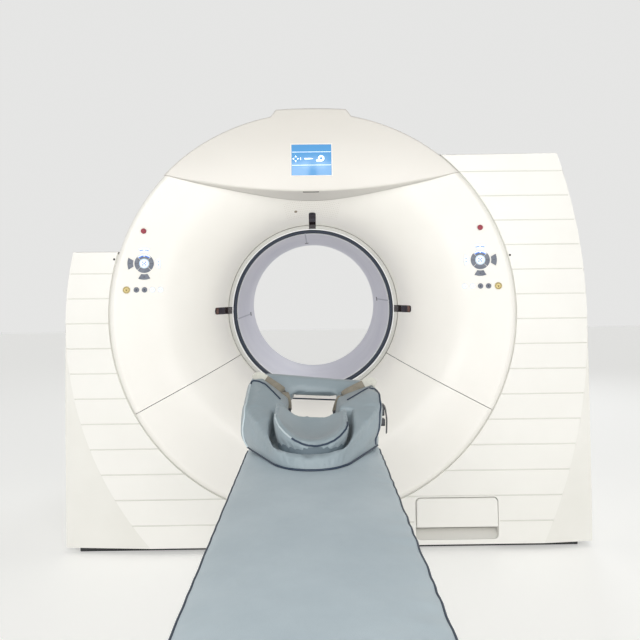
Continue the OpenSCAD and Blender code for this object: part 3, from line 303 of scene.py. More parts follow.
def softened(node, fine, wide=0, chosen=None, segments=3, tool=None, finish_name=None, trim=(),
             kept=None):
    """A node's copy with rounded edges: fine on most, wide on the chosen ones.
    Each trim changes its shape before that, kept edges stay, and a tool is cut out at the end."""
    source, mesh = frame["nodes"][node], node_copy(node)
    for shape, operation in trim:
        mesh = cut(mesh, shape, operation)
        bmesh.ops.remove_doubles(mesh, verts=mesh.verts, dist=0.00005)
    weight = mesh.edges.layers.float.new("bevel_weight_edge")
    wide = wide or fine
    for edge in mesh.edges:
        if edge.is_manifold and edge.calc_face_angle(0) > math.radians(28):
            edge[weight] = (0 if kept and kept(edge)
                            else 1 if chosen and chosen(edge) else fine / wide)

    def rounded(made):
        round_over = made.modifiers.new("round", "BEVEL")
        round_over.limit_method = "WEIGHT"
        round_over.width = wide
        round_over.segments = segments
        round_over.use_clamp_overlap = False

    if tool:
        passing = held(mesh, "passing")
        rounded(passing)
        mesh = baked(passing)
        low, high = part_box(node)
        for v in mesh.verts:
            for k in range(3):
                v.co[k] = min(high[k], max(low[k], v.co[k]))
        mesh = cut(mesh, tool)
    slot = source.data.materials[0].name
    made = piece(mesh, node + "_shape", slot, source["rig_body"], node, finish_name=finish_name,
                 sharp=35 if tool else None)
    if not tool:
        rounded(made)
    return evened(made)


softened("base_frame", 0.002)
softened("floor_frame", 0.0015)

# Frame, rotor and drive
# Welded and machined steel: the stator ring on its legs, the drum that turns in it with the tube,
# the generators and the detectors, the motor with its belt, and the fixed ring behind them.
finish("frame_steel", (150, 154, 160), (128, 132, 138), 0.34, metal=0.9, clouds=6, scale=420,
       depth=0.00003, stretch=(1, 0.06, 1))
finish("motor_casing", (96, 106, 118), (84, 92, 104), 0.4, coat=0.2, scale=1100, depth=0.00005)
finish("belt_rubber", (22, 22, 23), (32, 32, 33), 0.72, scale=900, depth=0.0001)
for node in ("tube_housing", "generator", "drive_motor", "motor_pulley", "detector_arc"):
    softened(node, 0.003)

# Tunnel
# The patient tunnel: a thin pale liner, moulded in one, with three small dark slots for the
# marking beams, and from each a faint grey line towards the front: a painted reflection of the
# panes in the glossy liner.
finish("tunnel_white", (214, 214, 224), (205, 205, 217), 0.4, spread=0.1, clouds=3, scale=900)
finish("slot_dark", (24, 26, 34), (34, 36, 44), 0.5)
# The grey of the lines: a painted reflection
finish("painted_reflection_grey", (176, 178, 190), (168, 170, 184), 0.5)
TUNNEL = 0.388           # inner radius of the liner


def on_wall(angle, y):
    """Local X along the wall's width, local Y towards the back, local Z to the bore's middle."""
    out = Vector((math.cos(angle), 0, math.sin(angle)))
    side = Vector((0, 1, 0)).cross(-out)
    turned_axes = Matrix((side, (0, 1, 0), -out)).transposed().to_4x4()
    return Matrix.Translation(Vector((0, y, AXIS)) + out * TUNNEL) @ turned_axes


slots_mesh, reflections_mesh = bmesh.new(), bmesh.new()
REFLECTION_START = -0.16       # where the painted reflections begin behind the mouth
for angle, y in ((95.6, 0.566), (186.7, 0.564), (5.8, 0.528)):
    reflection_end = y - 0.03
    for mesh, middle, size in (
            (slots_mesh, y, (0.022, 0.034, 0.004)),
            (reflections_mesh, (reflection_end + REFLECTION_START) / 2, (0.007, reflection_end - REFLECTION_START, 0.0012))):
        bmesh.ops.create_cube(mesh, size=1, matrix=on_wall(math.radians(angle), middle)
                              @ Matrix.Diagonal((*size, 1)))
piece(slots_mesh, "tunnel_slots", "seal_rubber", "gantry", finish_name="slot_dark")
# Faint grey lines along the wall: painted reflections of the panes
piece(reflections_mesh, "tunnel_painted_reflections", "tunnel_white", "gantry", finish_name="painted_reflection_grey")

# Front covers
# The big dished disc: two glass-fibre mouldings in satin warm-white enamel, the upper one with
# holes for the keys and the laser panes, clipped together along one seam on each side.
finish("cover_white", (240, 238, 233), (235, 233, 227), 0.33, spread=0.1, clouds=1.4, coat=0.25,
       scale=520, depth=0.000012)
# The disc's edge: its radius, its front, its rounding and how deep its side is
RIM, RIM_Y, RIM_ROUND, RIM_SIDE = 0.932, -0.5, 0.026, 0.066
# The dish's slope, the radius of its bend, its slope at the throat and the wall's thickness
SLOPE, BEND, THROAT_ANGLE, COVER = math.radians(12.5), 0.44, math.radians(72), 0.005
THROAT = TUNNEL + 0.015 + 0.024 + 0.0008     # round the seal and the bezel, with a gap
LIP = RIM - RIM_ROUND
# Where the bend begins
BEND_R = THROAT + BEND * (math.sin(THROAT_ANGLE) - math.sin(SLOPE))
BEND_Y = RIM_Y + (LIP - BEND_R) * math.tan(SLOPE)
THROAT_Y = BEND_Y + BEND * (math.cos(SLOPE) - math.cos(THROAT_ANGLE))


def dish_angle(r):
    """Slope of the dish's face at a distance from the axis."""
    if r >= BEND_R:
        return SLOPE
    return math.asin(min(math.sin(THROAT_ANGLE), math.sin(SLOPE) + (BEND_R - r) / BEND))


def dish_y(r):
    """Where the dish's face stands at a distance from the axis."""
    if r >= BEND_R:
        return RIM_Y + (LIP - r) * math.tan(SLOPE)
    return BEND_Y + BEND * (math.cos(SLOPE) - math.cos(dish_angle(r)))


def on_dish(x, z):
    """Local Z out of the dish's face at that place, local Y up."""
    r, spin = math.hypot(x, z), math.atan2(z, x)
    return (Matrix.Translation((x, dish_y(r), AXIS + z)) @ Matrix.Rotation(-spin, 4, "Y")
            @ Matrix.Rotation(-dish_angle(r), 4, "Z") @ Matrix.Rotation(math.pi / 2, 4, "X")
            @ Matrix.Rotation(-spin, 4, "Z"))


def turned(profile, steps=288):
    """A closed profile of (radius, y) turned round the bore's axis."""
    mesh = bmesh.new()
    ring = [mesh.verts.new((r, y, AXIS)) for r, y in profile]
    edges = [mesh.edges.new(pair) for pair in zip(ring, ring[1:] + ring[:1])]
    bmesh.ops.spin(mesh, geom=ring + edges, cent=(0, 0, AXIS), axis=(0, 1, 0),
                   angle=2 * math.pi, steps=steps, use_merge=True)
    bmesh.ops.remove_doubles(mesh, verts=mesh.verts, dist=0.000001)
    bmesh.ops.recalc_face_normals(mesh, faces=mesh.faces)
    return mesh


def prism(outline, low, high, place=None, mesh=None):
    """A flat outline in local X and Y made solid from low to high along local Z."""
    mesh = mesh or bmesh.new()
    place = place or Matrix()
    face = mesh.faces.new([mesh.verts.new(place @ Vector((x, y, low))) for x, y in outline])
    result = bmesh.ops.extrude_face_region(mesh, geom=[face])
    moved = [v for v in result["geom"] if isinstance(v, bmesh.types.BMVert)]
    bmesh.ops.translate(mesh, verts=moved, vec=place.to_3x3() @ Vector((0, 0, high - low)))
    bmesh.ops.recalc_face_normals(mesh, faces=mesh.faces)
    return mesh


def arc_points(radius, start, end, count, x=0.0, y=0.0):
    """Points along an arc round a middle, with its angles in degrees."""
    return [(x + radius * math.cos(a), y + radius * math.sin(a))
            for a in [math.radians(start + (end - start) * k / count) for k in range(count + 1)]]


def ring_part(inside, outside, start, end, count):
    """Outline of a ring's part."""
    return arc_points(outside, start, end, count) + arc_points(inside, end, start, count)


def disc(radius, count=48):
    return arc_points(radius, 0, 360, count)[:-1]


# X and Z of a front view, with the solid running along Y
FRONT = Matrix.Rotation(math.pi / 2, 4, "X")

outer = [(RIM, RIM_Y + RIM_SIDE), (RIM, RIM_Y + RIM_SIDE / 2)]
outer += [(LIP + RIM_ROUND * math.sin(a), RIM_Y + RIM_ROUND * (1 - math.cos(a)))
          for a in [math.radians(90 - 7.5 * k) for k in range(0, 13)]]
outer += [(LIP + (BEND_R - LIP) * k / 7, RIM_Y + (BEND_R - LIP) * -k / 7 * math.tan(SLOPE))
          for k in range(1, 7)]
bends = [SLOPE + (THROAT_ANGLE - SLOPE) * k / 36 for k in range(37)]
outer += [(BEND_R - BEND * (math.sin(a) - math.sin(SLOPE)),
           BEND_Y + BEND * (math.cos(SLOPE) - math.cos(a))) for a in bends]
inner = [(r + COVER * math.sin(a), y + COVER * math.cos(a))
         for a, (r, y) in list(zip(bends, outer[-37:]))[::-6]]
inner += [(LIP - COVER * math.sin(SLOPE), RIM_Y + 2 * COVER),
          (RIM - COVER, RIM_Y + RIM_ROUND + COVER), (RIM - COVER, RIM_Y + RIM_SIDE)]

KEY_X, KEY_Z = 0.775, 0.229      # middle of a control panel's round of keys, from the axis
# From there: the stop button, the row of keys, its pitch and the gold key
STOP_UP, ROW_DOWN, ROW_PITCH, GOLD_OFF = 0.149, 0.121, 0.035, 0.078
KEY_APEX, KEY_FLARE = 0.026, math.radians(31.5)      # of an arc key's flared sides


def wedge(inside, outside, apex, flare, turn_by, grow=0.0):
    """Outline of an arc key: a ring's part between two sides that flare from an apex."""
    tip = apex - grow / math.sin(flare)
    points = []
    for radius, order in ((inside - grow, 1), (outside + grow, -1)):
        # Where the flared side crosses this circle
        along = math.sqrt(radius ** 2 - (tip * math.sin(flare)) ** 2) - tip * math.cos(flare)
        half = math.atan2(along * math.sin(flare), tip + along * math.cos(flare))
        arc = [-half + 2 * half * k / 14 for k in range(15)]
        points += [(radius * math.cos(a), radius * math.sin(a)) for a in arc[::order]]
    return [(x * math.cos(turn_by) - y * math.sin(turn_by),
             x * math.sin(turn_by) + y * math.cos(turn_by)) for x, y in points]


ARC_TURN = {"up_key": 90, "down_key": 270, "out_key": 0, "in_key": 180}
holes = bmesh.new()
for side in (-1, 1):
    cluster = on_dish(side * KEY_X, KEY_Z)
    for key, degrees in ARC_TURN.items():
        if side < 0:
            degrees = 180 - degrees
        prism(wedge(0.050, 0.074, KEY_APEX, KEY_FLARE, math.radians(degrees), 0.0006),
              -0.03, 0.03, cluster, holes)
    prism(disc(0.0216), -0.03, 0.03, cluster, holes)
    prism(disc(0.0126), -0.03, 0.03, on_dish(side * KEY_X, KEY_Z + STOP_UP), holes)
    for step in (-2, -1, 0, 1):
        prism(disc(0.0126), -0.03, 0.03,
              on_dish(side * (KEY_X + step * ROW_PITCH), KEY_Z - ROW_DOWN), holes)
    prism(disc(0.0166), -0.03, 0.03, on_dish(side * (KEY_X + GOLD_OFF), KEY_Z - ROW_DOWN), holes)

# The three slots of the laser panes, open towards the bezel
PANE = 0.0348            # width of a slot


def round_bore(degrees):
    """A front view turned round the bore's axis."""
    return (Matrix.Translation((0, 0, AXIS)) @ Matrix.Rotation(-math.radians(degrees), 4, "Y")
            @ FRONT)


for degrees in (0, 90, 180):
    long_end = THROAT + 0.052 - 0.008
    outline = [(THROAT - 0.03, -PANE / 2)]
    outline += arc_points(0.008, -90, 0, 6, long_end, 0.008 - PANE / 2)
    outline += arc_points(0.008, 0, 90, 6, long_end, PANE / 2 - 0.008)
    outline += [(THROAT - 0.03, PANE / 2)]
    prism(outline, 0.0, 0.6, round_bore(degrees), holes)

# The lower cover's sector, with half the seam, and the visor's space
SEAM, SEAM_Z, SEAM_FALL = 0.003, -0.031, math.tan(math.radians(27.6))


def sector(grow):
    """All that lies below the two seams."""
    z = AXIS + SEAM_Z + grow
    return prism([(0, z), (-1.4, z - 1.4 * SEAM_FALL), (-1.4, -0.6), (1.4, -0.6),
                  (1.4, z - 1.4 * SEAM_FALL)], 0.1, 0.7, FRONT)


VISOR_R, VISOR_TILT = 2.85, math.radians(8)     # the visor's curve and how far it tips up
visor_low = [v.co for v in frame["nodes"]["display_hood"].data.vertices
             if abs(v.co.x) < 0.02 and v.co.z < AXIS + 0.62]
visor_front = min(visor_low, key=lambda p: p.y)
visor_z = visor_front.z - AXIS                     # height of its front edge above the axis


def visor_tool(grow):
    """All that lies above the visor's lower face."""
    reach = VISOR_R + grow
    arc = [math.radians(a * 0.5) for a in range(-46, 47)]
    outline = [(reach * math.sin(a), reach * math.cos(a)) for a in arc]
    outline += [(1.5, 1.0), (-1.5, 1.0)]
    lift = VISOR_R / math.cos(VISOR_TILT)
    place = (Matrix.Translation((0, visor_front.y, AXIS + visor_z + lift))
             @ Matrix.Rotation(-math.pi / 2 - VISOR_TILT, 4, "X"))
    return prism(outline, -0.5, 0.9, place)


upper = cut(turned(outer + inner), sector(SEAM / 2))
upper = cut(upper, visor_tool(0.0008))
upper = cut(upper, holes)
evened(piece(upper, "front_cover_upper_shape", "cover_white", "gantry", "front_cover_upper",
             "left_control_plate", "right_control_plate"))
lower = cut(turned(outer + inner), sector(-SEAM / 2), "INTERSECT")
evened(piece(lower, "front_cover_lower_shape", "cover_white", "gantry", "front_cover_lower"))

# A small round sensor, and the field of pin holes for the loudspeaker above the bore
# The pin holes are thin discs of greyer white: painted shade for the holes' depth
finish("pin_hole_painted_shade", (196, 190, 180), (188, 182, 172), 0.7)
SENSOR = (-0.08, 0.483)  # its place from the axis
PIN_PITCH, PIN_SPREAD = 0.0085, 0.52
pins = bmesh.new()
for row in range(9):
    r = 0.462 + PIN_PITCH * row
    count = int(PIN_SPREAD * r / PIN_PITCH)
    for k in range(count + 1):
        a = math.pi / 2 + PIN_SPREAD * (k / count - 0.5)
        x, z = r * math.cos(a), r * math.sin(a)
        # None in the top pane and none round the sensor
        if abs(x) < 0.0235 and r < 0.487 or math.hypot(x - SENSOR[0], z - SENSOR[1]) < 0.012:
            continue
        prism(disc(0.0014, 6), -0.0005, 0.00025, on_dish(x, z), pins)
piece(pins, "speaker_holes", "cover_white", "gantry", finish_name="pin_hole_painted_shade")
finish("sensor_bronze", (150, 138, 120), (120, 108, 92), 0.35, coat=0.5)
sensor = bmesh.new()
for radius, top in ((0.0075, 0.0012), (0.0045, 0.0022)):
    prism(disc(radius), -0.001, top, on_dish(*SENSOR), sensor)
piece(sensor, "round_sensor", "laser_glass", "gantry", finish_name="sensor_bronze")

# Bezel and seal
# The grey moulded ring at the tunnel's mouth, and the soft dark seal that it holds, each with
# a thin near-white ring on its rounded inner edge: a painted highlight.
finish("bezel_grey", (190, 190, 185), (181, 181, 177), 0.42, clouds=5, scale=900, depth=0.00002)
finish("seal_rubber", (22, 34, 52), (29, 42, 60), 0.55, clouds=9, scale=1200, depth=0.00004)
finish("edge_painted_highlight", (246, 247, 248), (240, 241, 243), 0.25, coat=0.4)
SEAL, BEZEL = TUNNEL + 0.015, TUNNEL + 0.039


def mouth_ring(*profile):
    """A ring at the tunnel's mouth, from pairs of a radius and a depth behind the throat."""
    return turned([(r, THROAT_Y + y) for r, y in profile])


bezel_mesh = mouth_ring(
    (SEAL, 0.026), (SEAL, 0.004), (SEAL + 0.0012, 0), (SEAL + 0.004, -0.0022),
    (SEAL + 0.008, -0.003), (BEZEL - 0.006, -0.003), (BEZEL - 0.003, -0.0022),
    (BEZEL - 0.0009, -0.0003), (BEZEL, 0.003), (BEZEL, 0.026))
notches = bmesh.new()
for degrees in (0, 90, 180):
    prism([(SEAL - 0.01, -PANE / 2), (BEZEL + 0.01, -PANE / 2), (BEZEL + 0.01, PANE / 2),
           (SEAL - 0.01, PANE / 2)], 0.0, 0.6, round_bore(degrees), notches)
evened(piece(cut(bezel_mesh, notches), "bore_bezel_shape", "bezel_grey", "gantry", "bore_bezel"))
piece(mouth_ring((TUNNEL - 0.0005, 0.036), (TUNNEL - 0.0005, 0.010), (TUNNEL + 0.0012, 0.006),
                 (TUNNEL + 0.005, 0.0042), (SEAL - 0.004, 0.0042), (SEAL - 0.0013, 0.006),
                 (SEAL - 0.0004, 0.009), (SEAL - 0.0004, 0.026), (TUNNEL + 0.0006, 0.026),
                 (TUNNEL + 0.0006, 0.036)), "bore_seal_shape", "seal_rubber", "gantry", "bore_seal")
# Thin near-white rings on the rounded inner edges: painted highlights
for name, radius, y in (("tunnel_edge_highlight", TUNNEL - 0.0004, 0.0362),
                        ("seal_edge_highlight", SEAL + 0.0026, -0.0010)):
    piece(mouth_ring(*arc_points(0.0026, 0, 315, 7, radius, y)), name, "bezel_grey", "gantry",
          finish_name="edge_painted_highlight")

# Laser windows
# Dark tinted panes let into the dish at the top and on both sides, each with two inner steps.
finish("laser_glass", (26, 20, 24), (38, 26, 28), 0.12, spread=0.05, coat=0.6, depth=0.000004)
finish("laser_step", (70, 66, 72), (58, 54, 60), 0.3)
finish("laser_brown", (112, 84, 72), (96, 70, 60), 0.2, coat=0.5)
steps, outer_parts = bmesh.new(), bmesh.new()
for degrees in (0, 90, 180):
    a = math.radians(degrees)
    for r, half, long, mesh in ((THROAT + 0.013, 0.0150, 0.0014, steps),
                                (THROAT + 0.031, 0.0150, 0.0012, steps),
                                (THROAT + 0.041, 0.0148, 0.0170, outer_parts)):
        if degrees == 90 and mesh is outer_parts:
            continue
        place = on_dish(r * math.cos(a), r * math.sin(a)) @ Matrix.Rotation(a, 4, "Z")
        bmesh.ops.create_cube(mesh, size=1, matrix=place @ Matrix.Translation((0, 0, -0.0016))
                              @ Matrix.Diagonal((long, 2 * half, 0.0012, 1)))
piece(steps, "laser_steps", "laser_glass", "gantry", finish_name="laser_step")
piece(outer_parts, "laser_outer_parts", "laser_glass", "gantry", finish_name="laser_brown")

# Display hood
# The separate moulding over the disc's top, leaning back with a curved visor edge, and the
# raised middle that runs on as the top cap.
# The hood's white is a greyer copy of the disc's: painted shade for the less light on its leaning
# face
finish("hood_shaded_white", (216, 213, 207), (219, 216, 210), 0.33, spread=0.1, clouds=1.4, coat=0.2,
       scale=520, depth=0.000012)
# Its front edges are rounded wide, but not those of the display's pocket
softened("display_hood", 0.004, 0.009,
         lambda e: all(v.co.y < RIM_Y + 0.09 for v in e.verts)
         and not all(abs(v.co.x) < 0.12 and AXIS + 0.6 < v.co.z < AXIS + 0.8 for v in e.verts),
         segments=4, finish_name="hood_shaded_white")
finish("shadow_dark", (46, 42, 40), (56, 52, 50), 0.7)
slot_place = (Matrix.Translation((-0.004, visor_front.y + 0.012, visor_front.z))
              @ Matrix.Rotation(-VISOR_TILT, 4, "X"))
visor_slot = bmesh.new()
bmesh.ops.create_cube(visor_slot, size=1,
                      matrix=slot_place @ Matrix.Diagonal((0.074, 0.008, 0.006, 1)))
piece(visor_slot, "visor_slot", "cover_white", "gantry", finish_name="shadow_dark")

# Display
# A lit flat panel in a thin pale frame: a sky-blue field, two fine rules and three plain marks.
screen_low, screen_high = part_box("display_screen")
screen_mid = (screen_low + screen_high) / 2
HALF_W, HALF_H = 0.092, 0.073
HOOD_LEAN_R, SCREEN_UP = 1.7, 0.148     # the hood's leaning curve, and the display's height on it
face_y = RIM_Y - 0.002 + HOOD_LEAN_R - math.sqrt(HOOD_LEAN_R ** 2 - SCREEN_UP ** 2)
screen_place = (Matrix.Translation((0, face_y, screen_mid.z))
                @ Matrix.Rotation(-math.asin(SCREEN_UP / HOOD_LEAN_R), 4, "X") @ FRONT)
glass = finish("display_glass", (40, 74, 104), (46, 82, 112), 0.16, depth=0.000002, coat=0.4)
shader = glass.node_tree.nodes["Principled BSDF"]
# Its light falls off from the lower left corner
where = glass.node_tree.nodes.new("ShaderNodeTexCoord")
aimed = glass.node_tree.nodes.new("ShaderNodeMapping")
aimed.inputs["Location"].default_value = (HALF_W, 0, -screen_mid.z - HALF_H)
apart = glass.node_tree.nodes.new("ShaderNodeVectorMath")
apart.operation = "LENGTH"
fall = glass.node_tree.nodes.new("ShaderNodeValToRGB")
fall.color_ramp.elements[0].position = 0.02
fall.color_ramp.elements[0].color = tone(150, 206, 244)
fall.color_ramp.elements[1].position = 0.20
fall.color_ramp.elements[1].color = tone(92, 166, 226)
wired(glass.node_tree, (where, "Object", aimed, "Vector"), (aimed, "Vector", apart, 0),
      (apart, "Value", fall, "Fac"), (fall, "Color", shader, "Emission Color"))
shader.inputs["Emission Strength"].default_value = 0.8


def eased(mesh, width, segments):
    """Rounds a small piece's edges."""
    bmesh.ops.bevel(mesh, geom=[e for e in mesh.edges if e.calc_face_angle(0) > 0.6],
                    offset=width, segments=segments, profile=0.5, affect="EDGES", material=-1)
    return mesh


def bar(x, y, wide, high):
    return [(x - wide / 2, y - high / 2), (x + wide / 2, y - high / 2),
            (x + wide / 2, y + high / 2), (x - wide / 2, y + high / 2)]


screen = prism(bar(0, 0, 2 * HALF_W, 2 * HALF_H), -0.010, -0.0016, screen_place)
piece(eased(screen, 0.0008, 2), "display_panel", "display_glass", "gantry", "display_screen")


def glowing(material, colour, strength):
    """Gives a finish a light of its own."""
    shader = material.node_tree.nodes["Principled BSDF"]
    shader.inputs["Emission Color"].default_value = (*colour, 1)
    shader.inputs["Emission Strength"].default_value = strength


glowing(finish("lit_white", (235, 245, 255), (225, 238, 255), 0.3), (0.86, 0.94, 1), 0.95)


def marks(outlines, place, low, high, name, slot, body, finish_name):
    """Flat printed or lit marks, as one thin piece."""
    mesh = bmesh.new()
    for outline in outlines:
        prism(outline, low, high, place, mesh)
    return piece(mesh, name, slot, body, finish_name=finish_name)


def arrow(x, y, size, degrees):
    """A plain triangle that points to that side."""
    a = math.radians(degrees)
    return [(x + size * (px * math.cos(a) - py * math.sin(a)),
             y + size * (px * math.sin(a) + py * math.cos(a)))
            for px, py in ((1, 0), (-0.5, 0.75), (-0.5, -0.75))]


def dot(x, y, radius, count=20):
    return arc_points(radius, 0, 360, count, x, y)[:-1]


# Two fine rules, and between them a cross of arrows, a wide arrow and a ring with a bar
screen_marks = [bar(0, 0.038, 0.180, 0.0016), bar(0, -0.0245, 0.180, 0.0016)]
screen_marks += [arrow(x, y, 0.006, 90 * k)
                 for k, (x, y) in enumerate(dot(-0.073, 0.006, 0.0105, 4))]
screen_marks += [bar(-0.050, 0.006, 0.003, 0.012)]
screen_marks += [bar(-0.018, 0.006, 0.030, 0.006), arrow(0.003, 0.006, 0.005, 0)]
screen_marks += [dot(0.045, 0.007, 0.0145), bar(0.034, -0.003, 0.024, 0.009)]
marks(screen_marks, screen_place, -0.0018, -0.0011, "display_marks", "display_glass", "gantry",
      "lit_white")
marks([dot(0.045, 0.007, 0.0066)], screen_place, -0.0012, -0.0008, "display_ring_mark",
      "display_glass", "gantry", "display_glass")
rim_frame = prism(bar(0, 0, 0.194, 0.156), -0.004, 0.0018, screen_place)
rim_frame = cut(rim_frame, prism(bar(0, 0, 0.1848, 0.1468), -0.05, 0.05, screen_place))
rim_frame = piece(rim_frame, "display_frame", "cover_white", "gantry", sharp=None)
round_over = rim_frame.modifiers.new("round", "BEVEL")
round_over.width, round_over.segments = 0.0012, 2
rim_frame.modifiers.new("even", "WEIGHTED_NORMAL")

# Controls
# On each side: a stop button, a lit centre key in a divided collar, four arc keys round it and a
# row of five round keys. Moulded caps, some lit from behind, with small printed marks.
finish("stop_red", (150, 2, 46), (134, 2, 40), 0.3, coat=0.5, scale=1600, depth=0.00001)
finish("key_grey", (118, 124, 137), (98, 105, 119), 0.42, clouds=40, scale=1800, depth=0.00001)
finish("key_gold", (208, 192, 134), (188, 170, 112), 0.32, metal=0.25, clouds=60)
finish("mark_dark", (56, 60, 70), (64, 68, 78), 0.5)
finish("mark_gold", (104, 84, 40), (92, 74, 36), 0.5)
lit = finish("key_lit", (233, 240, 250), (222, 234, 250), 0.28, clouds=70, coat=0.3)
shader = lit.node_tree.nodes["Principled BSDF"]
lit.node_tree.links.new(shader.inputs["Base Color"].links[0].from_socket,
                        shader.inputs["Emission Color"])
shader.inputs["Emission Strength"].default_value = 0.22
glowing(finish("mark_blue", (34, 104, 214), (44, 120, 226), 0.4), (0.02, 0.14, 0.62), 0.35)
finish("glow_blue", (150, 200, 240), (160, 208, 244), 0.4)

for side, word in ((-1, "left"), (1, "right")):
    cluster = on_dish(side * KEY_X, KEY_Z)
    inward = 180 if side > 0 else 0
    for key in ("stop_button", "centre_key", "up_key", "down_key", "out_key", "in_key",
                "gold_key", "row_key_1", "row_key_2", "row_key_3", "row_key_4"):
        softened(word + "_" + key, 0.0006 if key != "stop_button" else 0.0012, segments=2)
    # The collar: a ring with its top part lit, divided by the four diagonal slots
    for quarter, name in enumerate(("side_a", "top", "side_b", "bottom")):
        ring = prism(ring_part(0.0232, 0.0432, 90 * quarter - 43.4, 90 * quarter + 43.4, 24),
                     -0.004, 0.0022, cluster)
        piece(eased(ring, 0.0007, 2), word + "_collar_" + name, "key_grey", "gantry",
              finish_name="key_grey")
    marks([bar(0.0332 * s, 0, 0.019, 0.0013) for s in (-1, 1)], cluster, 0.0016, 0.0026,
          word + "_collar_lines", "key_grey", "gantry", "mark_dark")
    # The collar's top and the top key are lit along their outer part, blue below that
    for inside, outside, part, body, face in (
            (0.0368, 0.0426, "collar", "gantry", 0.0020),
            (0.0640, 0.0736, "up", word + "_up_key", 0.0026)):
        for near, far_r, shade, look in ((inside, outside, "light", "key_lit"),
                                         (inside - 0.0042, inside, "blue", "mark_blue")):
            outline = (ring_part(near, far_r, 49, 131, 16) if part == "collar" else
                       wedge(near, far_r, KEY_APEX, KEY_FLARE, math.radians(90), -0.0005))
            marks([outline], cluster, face - 0.0006, face + 0.0006,
                  "%s_%s_%s" % (word, part, shade), "key_grey", body, look)
        marks([dot(0, inside - 0.0022, 0.0030), bar(0, inside + 0.0008, 0.0046, 0.0060)], cluster,
              face + 0.0004, face + 0.0009, "%s_%s_spot" % (word, part), "key_grey", body, "key_lit")
    # The centre key: a blue edge, a lit face and five blue dots
    five = [dot(0, 0, 0.0030)] + [dot(x, y, 0.0027) for x, y in arc_points(0.0088, 45, 315, 3)]
    for shapes, low, high, part, look in (
            ([dot(0, 0, 0.0215, 40)], 0.0022, 0.0029, "edge", "glow_blue"),
            ([dot(0, 0, 0.0190, 40)], 0.0027, 0.0034, "face", "key_lit"),
            (five, 0.0030, 0.0038, "marks", "mark_blue")):
        marks(shapes, cluster, low, high, "%s_centre_%s" % (word, part), "key_lit",
              word + "_centre_key", look)
    cross = [bar(0, -0.062, 0.012, 0.0016), bar(0, -0.062, 0.0016, 0.009)]
    arrows = [arrow(-side * 0.064, y, 0.004, inward) for y in (0.007, -0.007)]
    for shapes, part, slot, look in ((cross, "down", "key_grey", "mark_dark"),
                                     ([bar(side * 0.062, 0, 0.009, 0.0016)], "out", "key_grey",
                                      "mark_dark"), (arrows, "in", "key_lit", "mark_blue")):
        marks(shapes, cluster, 0.0025, 0.0034, "%s_%s_marks" % (word, part), slot,
              "%s_%s_key" % (word, part), look)
    for number, step in ((1, 1), (2, 0), (3, -1), (4, -2)):
        place = on_dish(side * (KEY_X + step * ROW_PITCH), KEY_Z - ROW_DOWN)
        shapes = ([dot(0, 0, 0.0040)] if number < 3 else
                  [bar(-0.0035, 0, 0.0016, 0.006), bar(0.0035, 0, 0.0016, 0.006)])
        marks(shapes, place, 0.0025, 0.0033, "%s_row_marks_%d" % (word, number),
              "key_grey" if number < 3 else "key_lit", "%s_row_key_%d" % (word, number),
              "mark_dark" if number < 3 else "glow_blue")
    place = on_dish(side * (KEY_X + GOLD_OFF), KEY_Z - ROW_DOWN)
    ringed = [ring_part(0.0112, 0.0128, d, d + 15, 1) for d in range(0, 360, 15)]
    marks([arrow(0, -0.001, 0.0056, 270)] + ringed, place, 0.0025, 0.0034, word + "_gold_marks",
          "key_gold", word + "_gold_key", "mark_gold")

# Barrel, top cap and rear cover
# The thin shell round the machine behind the disc, the flat-topped cap along its top, and the
# dished cover at the back. Sheet and moulded covers in the same enamel.
softened("top_cap", 0.003, 0.006, lambda e: e.calc_length() > 0.5)
finish("fairing_white", (239, 238, 234), (233, 232, 227), 0.38, spread=0.1, clouds=1.2, coat=0.15,
       scale=520, depth=0.000014)

# Side fairings
# The two boxy side covers with fine grooves across their faces and a plain facet at the outside;
# each has a small plug by the disc, and louvres low on its side and back for the cooling air.
SWEEP_Z = AXIS - 0.030     # height of the faces' widest points
# The outer facets' white is a greyer copy of the faces': painted shade, as if less light fell on
# them
finish("facet_painted_shade", (232, 231, 226), (226, 225, 219), 0.42, coat=0.1)


def side_curve(side_x, sweep, out, top, count=24):
    """Points up the curve of a fairing's side, from its widest point, moved out by a distance."""
    rise = [(top - SWEEP_Z) * k / count for k in range(count + 1)]
    return [(math.copysign(abs(side_x) - sweep + math.sqrt((sweep + out) ** 2 - z * z), side_x),
             SWEEP_Z + z) for z in rise]


